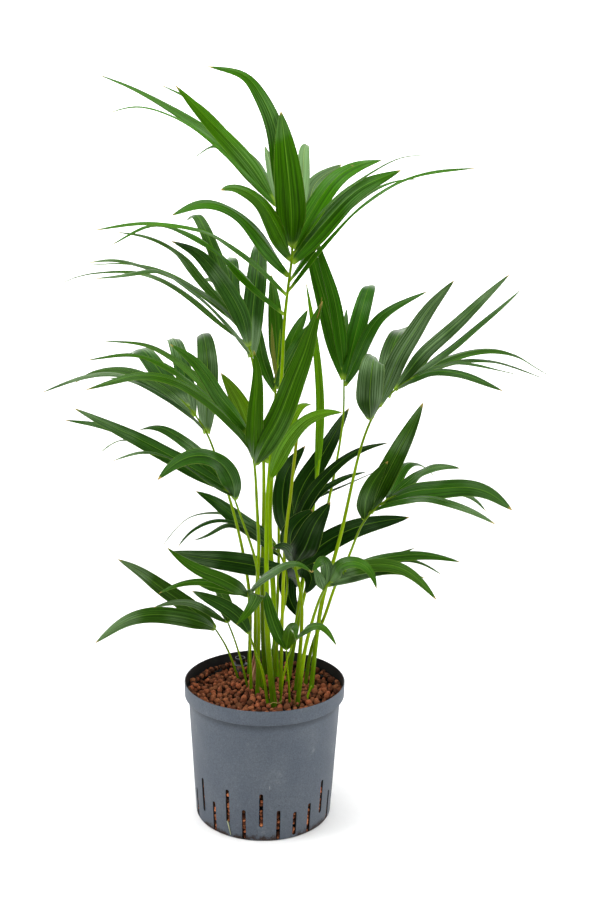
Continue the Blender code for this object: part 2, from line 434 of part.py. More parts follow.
def turned(name, profile, sides, material=None, at=Vector()):
    """Turn a profile of (radius, height) points round the vertical through a point."""
    shape = bmesh.new()
    verts = [shape.verts.new((radius, 0, height)) for radius, height in profile]
    edges = [shape.edges.new(pair) for pair in zip(verts, verts[1:])]
    bmesh.ops.spin(shape, geom=verts + edges, axis=(0, 0, 1), cent=(0, 0, 0), angle=math.tau, steps=sides)
    bmesh.ops.remove_doubles(shape, verts=shape.verts, dist=1e-6)
    bmesh.ops.translate(shape, verts=shape.verts, vec=at)
    return mesh_object(name, shape, material)


def rounded_corner(centre, radius, start, end, steps):
    """Points of an arc, in degrees from the outward direction."""
    angles = [math.radians(start + (end - start) * step / steps) for step in range(steps + 1)]
    return [(centre[0] + radius * math.cos(a), centre[1] + radius * math.sin(a)) for a in angles]


def wall_radius(height):
    """Outer radius of the tapered wall below the band."""
    top = POT_HEIGHT - BAND_HEIGHT
    return BASE_RADIUS + (RIM_RADIUS - BAND_STEP - BASE_RADIUS) * height / top


def make_pot(material):
    """The tapered pot with its stepped band, a closed base and its root slots."""
    band_foot = POT_HEIGHT - BAND_HEIGHT
    step_foot = band_foot - 0.002
    floor = [(0, WALL), (wall_radius(WALL) - 2 * WALL, WALL)]
    inside = [
        (wall_radius(0.006) - WALL, 0.006),
        (wall_radius(step_foot) - WALL, step_foot),
        (RIM_RADIUS - WALL - 0.0004, band_foot + 0.002),
        (RIM_RADIUS - WALL, POT_HEIGHT - 0.001),
    ]
    lip = rounded_corner((RIM_RADIUS - WALL / 2, POT_HEIGHT - WALL / 2), WALL / 2, 180, 0, 4)
    outside = [
        (RIM_RADIUS - 0.0004, band_foot + 0.001),
        (RIM_RADIUS - 0.0014, band_foot),
        (wall_radius(step_foot), step_foot - 0.001),
    ]
    corner = rounded_corner((BASE_RADIUS - BASE_ROUNDING, BASE_ROUNDING), BASE_ROUNDING, 0, -90, 4)
    profile = floor + inside + lip + outside + corner + [(0, 0)]
    pot = turned("culture_pot", profile, POT_SIDES, material)
    return combine(pot, [slot_cutter(index) for index in range(SLOT_COUNT)], "DIFFERENCE")


def slot_cutter(index):
    """A round-ended bar through the wall, where slot number index goes."""
    low, high = LOW_SLOT if index % 2 else HIGH_SLOT
    if index == SHORT_SLOT_INDEX:
        low, high = SHORT_SLOT
    radius = SLOT_WIDTH / 2
    shape = bmesh.new()
    ends = [(high - radius, 0), (low + radius, math.pi)]
    outline = [
        (radius * math.cos(start + math.pi * step / 4), middle + radius * math.sin(start + math.pi * step / 4))
        for middle, start in ends for step in range(5)
    ]
    inner = BASE_RADIUS - 0.008
    face = shape.faces.new([shape.verts.new((x, -inner, z)) for x, z in outline])
    grown = bmesh.ops.extrude_face_region(shape, geom=[face])
    moved = [item for item in grown["geom"] if isinstance(item, bmesh.types.BMVert)]
    bmesh.ops.translate(shape, verts=moved, vec=(0, inner - RIM_RADIUS - 0.01, 0))
    turn = index * math.tau / SLOT_COUNT
    bmesh.ops.rotate(shape, verts=shape.verts, cent=(0, 0, 0), matrix=Matrix.Rotation(turn, 3, "Z"))
    return mesh_object(f"slot_cutter_{index}", shape)


def make_granules(material):
    """The bed of clay granules, with a socket for each stalk and for the gauge."""
    foot = WALL + GAP
    clear = WALL + GAP
    profile = [
        (0, foot),
        (wall_radius(0) - 2 * WALL - GAP, foot),
        (wall_radius(0.006) - clear, 0.006),
        (wall_radius(0.166) - clear, 0.166),
        (wall_radius(0.166) - clear, GRANULE_TOP),
        (0, GRANULE_TOP),
    ]
    bed = turned("clay_granules", profile, POT_SIDES, material)
    sockets = [
        socket_cutter(frond.foot, frond.thickness[0] / 2 * CENTIMETRE, GRANULE_TOP - ROOT_DEPTH)
        for frond in FRONDS.values()
    ]
    gauge_foot = (GAUGE_AT.x / CENTIMETRE, GAUGE_AT.y / CENTIMETRE)
    sockets.append(socket_cutter(gauge_foot, GAUGE_RADIUS, GAUGE_FOOT))
    return combine(bed, sockets, "DIFFERENCE")


def socket_cutter(foot, radius, bottom):
    """A bar slightly wider than what stands in the socket, from below it to above the bed."""
    shape = bmesh.new()
    low, high = bottom - GAP, GRANULE_TOP + 0.01
    place = Matrix.Translation((foot[0] * CENTIMETRE, foot[1] * CENTIMETRE, (low + high) / 2))
    wide = radius / math.cos(math.pi / 12) + GAP
    bmesh.ops.create_cone(shape, cap_ends=True, segments=12, radius1=wide, radius2=wide,
                          depth=high - low, matrix=place)
    return mesh_object("socket_cutter", shape)


def make_gauge(clear, black, red):
    """The water gauge: a clear tube, a black flanged cap on its top, and the float rod inside."""
    bore = GAUGE_RADIUS - GAUGE_WALL
    tube = [(bore, GAUGE_FOOT), (GAUGE_RADIUS, GAUGE_FOOT), (GAUGE_RADIUS, GAUGE_TOP),
            (bore, GAUGE_TOP), (bore, GAUGE_FOOT)]
    turned("gauge_tube", tube, 16, clear, GAUGE_AT)
    seat = GAUGE_TOP + GAP
    flange_top = seat + FLANGE_THICKNESS
    cap = [(0, seat), (FLANGE_RADIUS, seat), (FLANGE_RADIUS, flange_top), (CAP_RADIUS, flange_top),
           (CAP_RADIUS, CAP_TOP), (CAP_RADIUS - GAUGE_WALL, CAP_TOP),
           (CAP_RADIUS - GAUGE_WALL, flange_top), (0, flange_top)]
    turned("gauge_cap", cap, 16, black, GAUGE_AT)
    rod = [(0, GAUGE_FOOT + GAP), (FLOAT_RADIUS, GAUGE_FOOT + GAP),
           (FLOAT_RADIUS, GAUGE_TOP - 0.012), (0, GAUGE_TOP - 0.012)]
    turned("gauge_float", rod, 8, red, GAUGE_AT)


def place(point):
    """World place of a board point (x, z, steps), on its line from the eye point."""
    x, z, steps = point
    y = steps * DEPTH_STEP
    reach = 1 + y / EYE_DISTANCE
    return Vector((EYE_X + (x - EYE_X) * reach, y, EYE_Z + (z - EYE_Z) * reach)) * CENTIMETRE


def smooth_path(points, step):
    """A smooth curve through the points, with a point about every step."""
    path = [points[0]]
    ends = [2 * points[0] - points[1], *points, 2 * points[-1] - points[-2]]
    for before, start, end, after in zip(ends, ends[1:], ends[2:], ends[3:]):
        pieces = max(1, round((end - start).length / step))
        for piece in range(1, pieces + 1):
            t = piece / pieces
            path.append(
                0.5 * (2 * start + (end - before) * t
                       + (2 * before - 5 * start + 4 * end - after) * t ** 2
                       + (3 * start - before - 3 * end + after) * t ** 3))
    return path


def evenly(path, count):
    """Count points at even distances along a path."""
    lengths = [0.0]
    for start, end in zip(path, path[1:]):
        lengths.append(lengths[-1] + (end - start).length)
    points = []
    index = 0
    for number in range(count):
        target = lengths[-1] * number / (count - 1)
        while index < len(path) - 2 and lengths[index + 1] < target:
            index += 1
        span = lengths[index + 1] - lengths[index]
        points.append(path[index].lerp(path[index + 1], (target - lengths[index]) / span))
    return points


def tangents(path):
    """Directions along a path."""
    return [(path[min(i + 1, len(path) - 1)] - path[max(i - 1, 0)]).normalized() for i in range(len(path))]


def skin(name, rings, tip=None):
    """Close a body over its rings of points, with a flat first end and a flat or pointed last one."""
    shape = bmesh.new()
    loops = [[shape.verts.new(point) for point in ring] for ring in rings]
    for lower, upper in zip(loops, loops[1:]):
        for index in range(len(lower)):
            following = (index + 1) % len(lower)
            shape.faces.new((lower[index], lower[following], upper[following], upper[index]))
    shape.faces.new(loops[0])
    if tip is None:
        shape.faces.new(loops[-1])
    else:
        point = shape.verts.new(tip)
        for index in range(len(loops[-1])):
            shape.faces.new((loops[-1][index], loops[-1][(index + 1) % len(loops[-1])], point))
    bmesh.ops.triangulate(shape, faces=shape.faces)
    return mesh_object(name, shape)


def make_stalk(name, frond):
    """The stalk, upright in its socket and tapering to its end. Returns it and its path."""
    foot = Vector((frond.foot[0], frond.foot[1], 0)) * CENTIMETRE
    bottom = foot + Vector((0, 0, GRANULE_TOP - ROOT_DEPTH))
    collar = foot + Vector((0, 0, GRANULE_TOP + COLLAR_HEIGHT))
    path = smooth_path([collar, *(place(point) for point in frond.stalk)], 0.05)
    sides = 8 if frond.thickness[0] > 0.45 else 6
    thick, thin = (value / 2 * CENTIMETRE for value in frond.thickness)
    rings = []
    for index, (point, along) in enumerate(zip([bottom, *path], [Vector((0, 0, 1)), *tangents(path)])):
        radius = thick + (thin - thick) * (max(0, index - 1) / (len(path) - 1)) ** 1.5
        across = along.cross(Vector((0, 1, 0))).normalized()
        other = along.cross(across)
        angles = [math.tau * side / sides for side in range(sides)]
        rings.append([point + radius * (across * math.cos(a) + other * math.sin(a)) for a in angles])
    return skin(name, rings), path


def blade_width(u):
    """Width of a leaflet at a fraction of its length, as a share of its widest."""
    opening = 0.3 + 0.7 * math.sin(math.pi / 2 * min(1, u / 0.35))
    return opening * (1 - u ** 2.6) ** 0.85


def make_blade(name, leaflet, start):
    """One leaflet: thickest along its midrib, with thin edges and a pointed tip."""
    path = smooth_path([start, *(place(point) for point in leaflet.points)], 0.01)
    length = sum((b - a).length for a, b in zip(path, path[1:]))
    spine = evenly(path, 4 + round(length / 0.09))
    turn = math.radians(leaflet.face)
    face = Vector((0, -math.cos(turn), math.sin(turn)))
    rings = []
    for index, (point, along) in enumerate(zip(spine, tangents(spine))):
        up = (face - along * face.dot(along)).normalized()
        half = along.cross(up) * leaflet.width / 2 * CENTIMETRE * blade_width(index / (len(spine) - 1))
        lift = up * LEAF_THICKNESS / 2
        rings.append([point - half, point + lift, point + half, point - lift])
    return skin(name, rings[:-1], spine[-1])


def board_height(point):
    """Height on the board at which a point of the model is seen."""
    return EYE_Z + (point.z / CENTIMETRE - EYE_Z) / (1 + point.y / CENTIMETRE / EYE_DISTANCE)


def point_at_height(path, height):
    """The first point of a path at a height on the board, or just before the path's end."""
    for start, end in zip(path, path[1:]):
        low, high = board_height(start), board_height(end)
        if low <= height <= high:
            return start.lerp(end, (height - low) / (high - low))
    return path[-2].lerp(path[-1], 0.9)


def make_frond(name, frond, material):
    """A frond: its stalk with every leaflet joined to it."""
    stalk, path = make_stalk(name, frond)
    blades = [
        make_blade(f"{name}_leaflet_{number}", leaflet, point_at_height(path, leaflet.height))
        for number, leaflet in enumerate(frond.leaflets)
    ]
    combine(stalk, blades, "UNION")
    stalk.data.materials.clear()
    stalk.data.materials.append(material)
    return stalk


def build():
    """Make every piece."""
    clear_scene()
    make_pot(finish_material("pot_plastic", (0.13, 0.16, 0.16), 0.55))
    make_granules(finish_material("baked_clay", (0.22, 0.08, 0.035), 0.95))
    make_gauge(finish_material("clear_plastic", (0.6, 0.62, 0.62), 0.15),
               finish_material("black_plastic", (0.02, 0.02, 0.022), 0.3),
               finish_material("red_plastic", (0.6, 0.04, 0.03), 0.4))
    leaf = finish_material("palm_green", (0.06, 0.17, 0.02), 0.4)
    for name, frond in FRONDS.items():
        make_frond(name, frond, leaf)


build()
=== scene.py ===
"""Looks for the potted kentia palm: fronds, clay granules, slotted pot and water gauge.

Everything is in metres and +Z up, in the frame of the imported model. Each frond replaces its
own solid, and follows the same stalk and the same leaflets.
"""
import math
import random
from collections import namedtuple

import bpy
from mathutils import Matrix, Vector, noise


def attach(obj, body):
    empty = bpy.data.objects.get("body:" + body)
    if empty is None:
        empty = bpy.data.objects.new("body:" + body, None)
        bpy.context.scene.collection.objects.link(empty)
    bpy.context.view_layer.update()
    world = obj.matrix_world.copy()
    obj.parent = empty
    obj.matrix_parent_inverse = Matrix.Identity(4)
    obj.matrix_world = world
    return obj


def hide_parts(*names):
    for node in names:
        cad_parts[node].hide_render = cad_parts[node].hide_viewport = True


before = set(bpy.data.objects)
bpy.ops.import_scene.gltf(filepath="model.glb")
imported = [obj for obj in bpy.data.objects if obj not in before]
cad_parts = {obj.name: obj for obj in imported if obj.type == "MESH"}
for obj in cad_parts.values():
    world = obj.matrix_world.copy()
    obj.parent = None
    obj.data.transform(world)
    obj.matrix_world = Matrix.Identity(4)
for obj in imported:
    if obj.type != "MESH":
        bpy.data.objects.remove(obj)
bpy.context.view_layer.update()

# The pot.
POT_HEIGHT = 0.190
RIM_RADIUS = 0.110
BAND_HEIGHT = 0.020
BAND_STEP = 0.0055
BASE_RADIUS = 0.0936
WALL = 0.0016
SLOT_COUNT = 26
SLOT_WIDTH = 0.0054
HIGH_SLOT = (0.0210, 0.0697)
LOW_SLOT = (0.0012, 0.0445)
SHORT_SLOT = (0.0045, 0.0385)
SHORT_SLOT_INDEX = 2

# The filling.
CLAY_COLOUR = (0.215, 0.070, 0.029)
GRANULE_SIZE = 0.0078
GRANULE_TOP = 0.170
BED_TOP = 0.1615
ROOT_DEPTH = 0.004

# The water gauge.
GAUGE_AT = Vector((-0.0379, 0.0742, 0.0))
GAUGE_FOOT = 0.004
GAUGE_TOP = 0.1812
GAUGE_RADIUS = 0.0062
GAUGE_WALL = 0.0010
CAP_RADIUS = 0.0072
CAP_TOP = 0.1915
FLANGE_RADIUS = 0.0100

# Leaf and stalk places are set out in centimetres on a board that stands upright on the pot's
# axis and is looked at from the eye point in front of it: x to the right, z up, and then how many
# depth steps behind the board the point lies on its line of sight.
EYE_X, EYE_DISTANCE, EYE_Z = 4.3, 144.8, 78.5
DEPTH_STEP = 1.7
CENTIMETRE = 0.01

# A leaflet leaves its stalk at a height on the board, and runs through its points to its tip.
# Its upper side faces the front at 0 degrees, up at 90 and the back at 180.
Leaflet = namedtuple("Leaflet", "height width face points")
# A frond's foot is its place in the granules, in centimetres from the pot's axis, and its
# thickness is that of the stalk at the foot and at the end.
Frond = namedtuple("Frond", "foot stalk thickness leaflets")

FRONDS = {
    "frond_top": Frond((1.5, 5.6), [
        (1.4, 24, 3.2), (1.0, 32, 3), (0.4, 40, 2.8), (0.6, 48, 2.6), (1.4, 56, 2.4),
        (1.8, 62, 2.2), (2.0, 68, 2), (2.6, 74, 2), (3.0, 77.2, 2), (2.6, 79.5, 2.5),
        (1.7, 81.7, 3.5), (0.5, 83.3, 4.5), (-0.4, 84.2, 5),
    ], (0.8, 0.22), [
        Leaflet(82.8, 2.4, 60, [(-5, 89.3, 6), (-10, 92.9, 7), (-16.8, 96.5, 8), (-21.5, 98.2, 9)]),
        Leaflet(82.4, 1.9, 78, [(-5, 88.3, 3), (-10.5, 92.5, 2), (-16.5, 94.6, 1),
            (-20.4, 93.6, 0)]),
        Leaflet(83.4, 2.5, 35, [(-2.8, 87.8, 4.5), (-7.2, 92.3, 4), (-12, 97.1, 3)]),
        Leaflet(83.0, 1.3, 75, [(-4, 89.5, 8), (-9, 94.8, 10), (-14, 97.2, 11)]),
        Leaflet(83.8, 1.7, 60, [(-3.2, 87, 7), (-6.6, 90.1, 9), (-9.9, 88.2, 11)]),
        Leaflet(84.0, 1.6, 200, [(-1.7, 87.2, 7), (-3.5, 89.5, 10)]),
        Leaflet(81.2, 2.3, 40, [(0.6, 91.8, 1), (-2.1, 97.2, 0), (-3.6, 98.7, -0.5),
            (-8, 99.4, -1)]),
        Leaflet(77.5, 3.7, 5, [(2.6, 83, 0.5), (1.9, 89, 0), (1.2, 94.2, 0.8)]),
        Leaflet(76.0, 2.8, 40, [(-1, 82.8, -1), (-4.6, 84.8, -3), (-6.3, 84.4, -4.5)]),
        Leaflet(74.0, 2.9, 45, [(-2.6, 80.1, -1), (-6, 82.4, -3), (-9.1, 82.7, -5),
            (-12.5, 81.2, -7)]),
        Leaflet(71.5, 2.3, 66, [(-1.8, 75.4, 0), (-6.8, 78.6, -2), (-10, 79.7, -4), (-16, 80.3, -6),
            (-22.4, 79.2, -8)]),
        Leaflet(69.0, 2.0, 68, [(-2, 72.4, 1), (-5, 75.3, 1), (-8, 77.7, 0), (-11, 79.2, 0),
            (-14.5, 80.2, -1), (-17, 79.3, -2), (-20.5, 77.2, -3)]),
        Leaflet(77.4, 2.6, 30, [(5.2, 81.8, 3), (8, 85.9, 4), (11, 87.8, 6), (14, 88.5, 8)]),
        Leaflet(76.6, 1.5, 70, [(6, 81.5, 1), (9.5, 84.8, 0), (13.8, 87.6, -1), (16.8, 89, -2),
            (20.5, 89.2, -3)]),
        Leaflet(75.6, 2.9, 25, [(7.2, 80.9, 4), (11.2, 84.9, 6), (16.5, 87.3, 8)]),
        Leaflet(73.2, 1.3, 75, [(7, 79.5, 5), (11, 83.5, 7), (15.5, 85.9, 9), (19.7, 86.3, 11)]),
        Leaflet(72.0, 1.6, 60, [(5.3, 76.1, 1), (9.2, 80.4, -1), (12.1, 83.2, -3), (15.9, 85.7, -5),
            (20, 87.1, -7), (26, 87.7, -9)]),
        Leaflet(80.2, 2.0, 190, [(3.9, 84.5, 7), (4.2, 89.7, 10), (4.8, 90, 13)]),
        Leaflet(78.5, 2.6, 170, [(4.9, 83, 7), (5.7, 85.6, 9), (9, 87.9, 12)]),
        Leaflet(82.0, 1.8, 190, [(0.2, 87, 8), (-0.8, 90, 10)]),
    ]),
    "frond_upper_left": Frond((-0.1, 6.4), [
        (-0.3, 24, 3.9), (-0.5, 34, 4), (-0.4, 44, 4.2), (-0.6, 52, 4.4), (-1.3, 58, 4.7),
        (-1.9, 62, 5), (-2.6, 65, 5.5), (-3.7, 67.6, 6.5), (-5, 69.5, 8), (-6, 71, 10),
    ], (0.64, 0.2), [
        Leaflet(66.8, 2.1, 62, [(-6, 69.8, 4), (-8, 71.3, 3), (-12, 73.4, 1), (-14.5, 74.2, 0),
            (-17, 75, -1), (-20, 75.6, -2), (-23.2, 75.1, -3)]),
        Leaflet(63.8, 1.8, 65, [(-4, 66.1, 3.4), (-7, 69.2, 1.8), (-10, 71.8, 0),
            (-13.6, 74.2, -1.6), (-16, 74.1, -3.2), (-19, 73.5, -5), (-22.4, 73.1, -7)]),
        Leaflet(65.0, 1.3, 80, [(-6, 67.5, 6), (-10, 70.8, 7), (-14, 73.2, 8), (-18, 74.1, 9),
            (-23.9, 73.6, 10), (-27, 72.3, 10.5)]),
        Leaflet(67.4, 1.3, 82, [(-8, 71, 9), (-13, 74, 11), (-18, 75.1, 12), (-24.5, 74.7, 13)]),
        Leaflet(68.8, 1.5, 55, [(-8, 72.3, 8), (-9.5, 74, 8), (-11, 75.9, 8), (-13, 77.4, 7),
            (-16, 78.6, 6), (-19.5, 79, 5)]),
        Leaflet(64.6, 2.4, 30, [(-3.4, 68.4, 4), (-5, 71.4, 3), (-7, 74.2, 2), (-9, 76.4, 1),
            (-11, 77.4, 0), (-12.6, 78, -1)]),
        Leaflet(69.5, 1.9, 40, [(-6.2, 74.5, 11), (-7.6, 78, 11), (-9.3, 81.3, 13),
            (-10.6, 80.6, 17)]),
        Leaflet(68.0, 1.9, 40, [(-4.7, 72, 10), (-4.7, 75.6, 12), (-5.2, 76.1, 16)]),
        Leaflet(63.4, 2.9, 30, [(-2.2, 68, 8), (-1.7, 73, 9), (-1.4, 77, 12), (-1.6, 78, 16)]),
        Leaflet(67.8, 1.5, 160, [(-5.3, 69.7, 9), (-7.2, 73.3, 11), (-9, 72.8, 12)]),
    ]),
    "frond_middle_left": Frond((-2.5, 6.9), [
        (-2.1, 24, 3.9), (-2.2, 31, 3.2), (-3.3, 37.8, 2.2), (-4.8, 43.8, 1), (-6.8, 50, 0),
        (-7.8, 52.9, 0), (-8.7, 54.4, 0), (-10, 56.2, 0.5), (-11.6, 57.8, 1.5),
    ], (0.54, 0.2), [
        Leaflet(54.3, 1.3, 68, [(-12, 57, -1), (-16, 59.6, -2), (-20.5, 60.9, -4), (-25, 60.1, -6),
            (-29.6, 58.2, -8)]),
        Leaflet(55.5, 1.8, 60, [(-13, 58.8, 2), (-17, 60.9, 3), (-20, 61.5, 3), (-23.5, 60.8, 3),
            (-25.2, 59.6, 3)]),
        Leaflet(56.8, 2.5, 40, [(-12.3, 58.8, 3), (-14.5, 61.6, 4), (-16.4, 64, 6),
            (-18, 63.6, 10)]),
        Leaflet(55.8, 2.2, 40, [(-10.5, 58.5, 3), (-11.2, 62, 4), (-12.2, 65.4, 6),
            (-13, 65.2, 11)]),
        Leaflet(53.2, 2.7, 30, [(-8.1, 57, 2), (-7.9, 62, 3), (-8.4, 66, 6), (-9, 66, 10)]),
        Leaflet(53.6, 1.3, 62, [(-10.5, 55.9, -2), (-14.5, 58.4, -4), (-18, 60, -6),
            (-21, 60.3, -8)]),
    ]),
    "frond_front": Frond((-0.4, 1.9), [
        (-1.3, 24, 1), (-1.2, 32, 0), (-1.0, 38, -1), (-1.3, 43, -2.5), (-1.5, 47, -4),
        (-1.8, 50, -5), (-2.1, 52, -5.5), (-2.8, 54.3, -5.5),
    ], (0.64, 0.24), [
        Leaflet(50.6, 1.7, 58, [(-4, 53.8, -7), (-6.2, 56, -8), (-8.7, 58, -9), (-12, 60, -10),
            (-16.5, 60.8, -11), (-20, 59.9, -12), (-24, 58.6, -13)]),
        Leaflet(51.8, 1.3, 65, [(-4.5, 54.8, -6), (-7.2, 57.3, -6), (-9.7, 59.4, -6),
            (-12, 61.2, -7), (-15, 62.7, -7), (-18, 63.5, -8), (-23.8, 62.5, -8)]),
        Leaflet(52.8, 1.2, 68, [(-4.6, 55.3, -5), (-6.8, 57.9, -4), (-9, 60.2, -4), (-11, 62, -3),
            (-13, 63.3, -3), (-16, 64.8, -3), (-21.8, 65.1, -3)]),
        Leaflet(53.4, 1.9, 40, [(-4, 55.3, -6), (-6.3, 57.9, -7), (-8, 60.6, -8), (-10, 63, -9),
            (-12.8, 64.8, -10)]),
        Leaflet(49.6, 2.0, 0, [(-1.8, 52.5, -7), (-1.6, 57, -8), (-1.4, 61, -8), (-1.9, 64.2, -8)]),
        Leaflet(48.9, 2.9, 10, [(-0.6, 51.5, -7), (1.6, 55.5, -8), (3.2, 60, -8), (4.9, 64.5, -8.5),
            (5.7, 67.6, -9), (6.9, 70.7, -9)]),
    ]),
    "frond_centre": Frond((1.4, -4.2), [
        (0.3, 25, -2.6), (0.1, 32, -2.6), (0.0, 38, -2.5), (0.0, 44, -2.3), (0.2, 47, -2.2),
        (0.3, 49, -2), (0.4, 51, -1.5),
    ], (0.84, 0.34), [
        Leaflet(47.0, 2.1, 45, [(2.0, 51.3, -3), (4.6, 54.8, -4), (7.5, 56.2, -5),
            (9.8, 56.2, -6)]),
        Leaflet(48.5, 1.7, 40, [(1.9, 52.5, -1), (3.2, 55.6, 0), (4.6, 57.3, 1), (5.7, 57.2, 2)]),
        Leaflet(49.5, 2.7, 15, [(-1.8, 52.5, -1), (-3.3, 56.3, 0), (-4.7, 59, 0), (-6.2, 61.2, 0)]),
    ]),
    "frond_centre_back": Frond((0.6, 8.1), [
        (1.6, 30, 5), (1.6, 42, 5.3), (1.0, 52, 5.8), (0.9, 58, 6.6), (1.1, 61, 7.2), (1.3, 64, 8),
        (1.5, 67, 9),
    ], (0.5, 0.2), [
        Leaflet(58.8, 1.6, 20, [(-0.6, 62.5, 8), (-1.3, 66, 10), (-2, 70, 12)]),
        Leaflet(60.0, 2.0, 20, [(2.0, 62.5, 8), (3.4, 66.5, 9), (5, 69.6, 11)]),
        Leaflet(59.2, 1.7, 25, [(2.6, 63, 6), (4.2, 66, 6), (5.9, 68.3, 7)]),
        Leaflet(62.0, 2.2, 15, [(1.0, 66, 10), (0.6, 71, 12), (0.2, 74, 14)]),
        Leaflet(60.5, 0.6, 0, [(0.6, 64, 6), (0.35, 67.8, 6)]),
    ]),
    "spear_leaf": Frond((3.2, 5.8), [
        (4.6, 30, 3.4), (5.8, 40, 3.2), (6.5, 46, 2.9), (6.8, 50, 2.7), (6.85, 54.6, 2.5),
    ], (0.66, 0.4), [
        Leaflet(46.5, 1.1, 10, [(6.9, 54.6, 2.2), (6.7, 60, 2), (6.0, 66, 1.8), (5.4, 69.5, 1.8),
            (4.7, 73.2, 2)]),
    ]),
    "cut_stalk": Frond((2.2, 0.3), [
        (2.3, 30, -0.4), (2.6, 40, -1.2), (3.0, 43.3, -1.4), (3.5, 49, -1.7), (3.95, 53.4, -2),
    ], (0.5, 0.4), []),
    "frond_upper_right": Frond((3.0, 3.6), [
        (5.0, 30, 2.5), (7.0, 38, 2.9), (8.2, 44, 3.2), (9.1, 49, 3.5), (9.8, 54, 3.8), (10, 57, 4),
        (9.9, 59.5, 4), (9.9, 61.5, 4.5), (9.8, 64, 5.5),
    ], (0.54, 0.2), [
        Leaflet(60.5, 2.4, 35, [(10.7, 64, 4), (11.7, 68.5, 5), (12.7, 72.3, 7), (13.3, 72.9, 11)]),
        Leaflet(59.8, 1.9, 45, [(11.2, 62.6, 3), (12.3, 65.3, 2), (14, 68.4, 1), (16.5, 70.3, 0),
            (20.4, 72.2, -1)]),
        Leaflet(60.6, 2.4, 20, [(8.9, 64.3, 5), (7.7, 69, 5), (6.5, 73, 6), (5.4, 76.5, 7),
            (4.2, 80, 8)]),
        Leaflet(61.5, 1.7, 20, [(9.3, 66, 3.5), (8.4, 71, 3.5), (6.9, 75.5, 4), (5.8, 79, 5)]),
        Leaflet(62.8, 1.0, 30, [(9.9, 66.5, 8), (10, 69.8, 12)]),
    ]),
    "frond_right": Frond((6.4, 1.6), [
        (6.9, 24, 1), (7.6, 30, 0.5), (9, 35.7, 0), (10.1, 40.2, -0.5), (11.2, 46.1, -1),
        (12.2, 51.1, -1.5), (13.3, 54.7, -2), (14.1, 56.5, -2), (15.5, 58.4, -2), (17, 59.7, -2),
        (18.6, 60.9, -2), (20, 61.6, -2),
    ], (0.66, 0.18), [
        Leaflet(55.2, 3.2, 10, [(13.3, 58.5, -4), (13.6, 62.8, -5), (14.0, 63.6, -1)]),
        Leaflet(57.0, 2.2, 15, [(15.8, 60.6, -3), (17, 63.8, -3.5), (18.8, 66.8, -4),
            (20.7, 70, -4), (23.8, 73.7, -5)]),
        Leaflet(59.3, 1.7, 30, [(19.8, 63.8, -2), (21.8, 65.7, -2), (24.7, 68.4, -2),
            (27.7, 71.5, -2), (30.9, 74.6, -2)]),
        Leaflet(60.6, 1.3, 70, [(20.6, 62.6, -1), (23.9, 65, 0), (26.7, 67.5, 1), (29.7, 70.1, 2),
            (32.5, 72.7, 3)]),
        Leaflet(61.2, 1.7, 75, [(20.9, 62.2, 1), (23, 63.4, 2), (26, 64.4, 4), (29, 64.8, 5),
            (32.2, 64.2, 6), (34.1, 63, 7), (36.8, 61.5, 8)]),
        Leaflet(61.0, 1.5, 75, [(21.5, 62.4, -1), (24.5, 63.3, -1), (27, 63.5, -1), (30, 63.2, 0),
            (33.2, 62.2, 0), (36.3, 61, 1)]),
        Leaflet(60.8, 1.3, 78, [(21, 62.1, -3), (23.6, 62.9, -4), (26, 63.0, -5), (29, 62.4, -6),
            (32.6, 61.6, -7)]),
        Leaflet(59.6, 1.6, 62, [(18.5, 60.6, -4), (20.8, 61.6, -5), (22.5, 61.9, -6),
            (25.6, 61.5, -7), (28.2, 60.5, -8), (30.8, 59.4, -9)]),
        Leaflet(58.4, 2.5, 40, [(15.6, 60.5, 0), (15.7, 63.5, 2), (16.8, 66.6, 5), (17.8, 67.1, 9),
            (19.2, 68.0, 12)]),
        Leaflet(60.0, 1.8, 35, [(20, 63.6, 2), (23, 66.9, 5)]),
    ]),
    "frond_middle_right": Frond((5.6, 3.4), [
        (6.4, 24, 1.7), (7.9, 27.6, 0.9), (9.3, 32.3, -0.6), (10.9, 36, -2.4), (12.4, 40.3, -4.6),
        (13.2, 41.8, -5.6), (14.4, 43.3, -6.5), (15.8, 44.5, -7), (17.2, 45.2, -8),
    ], (0.52, 0.18), [
        Leaflet(42.5, 2.4, 10, [(15.1, 46.3, -7), (16.9, 50.2, -8), (18.9, 54.4, -9),
            (20.4, 57.8, -9)]),
        Leaflet(41.6, 2.0, -10, [(13.2, 44.5, -7), (14.2, 47.2, -7.5), (16, 49.8, -8)]),
        Leaflet(44.6, 1.5, 70, [(17, 46.8, -5), (18, 49, -4), (19.2, 49.7, -3), (20.6, 49.3, -2),
            (22.2, 47.9, -1)]),
        Leaflet(44.4, 1.6, 60, [(17.9, 46.3, -7), (19.8, 47.9, -7), (21.7, 49, -8), (24, 49.3, -8),
            (25.6, 49, -8)]),
        Leaflet(43.9, 2.4, 35, [(17.6, 45.1, -8), (19.8, 45.8, -9), (23.7, 46.2, -11),
            (26.7, 46.5, -12), (29.7, 45.8, -13), (31.6, 44.3, -14), (32.8, 43.4, -15)]),
        Leaflet(43.2, 1.7, 60, [(16.5, 44.2, -8.5), (19, 44.7, -10), (21.4, 44.9, -11.5),
            (23.8, 44.4, -13), (26.4, 43.6, -14), (28.7, 42.6, -15), (30.7, 41.4, -16)]),
        Leaflet(44.2, 1.5, 75, [(19, 45.6, -5), (24, 46.0, -5), (27.6, 45.1, -5),
            (29.3, 43.2, -5)]),
    ]),
    "frond_lower_right": Frond((4.5, -3.1), [
        (5.4, 23, -2.6), (5.9, 25.4, -3.3), (6.5, 27.9, -4.2), (7.2, 30.3, -5.3), (7.9, 32, -6.3),
        (8.6, 33, -7), (9.6, 34, -7.8), (10.8, 34.7, -8.6),
    ], (0.6, 0.2), [
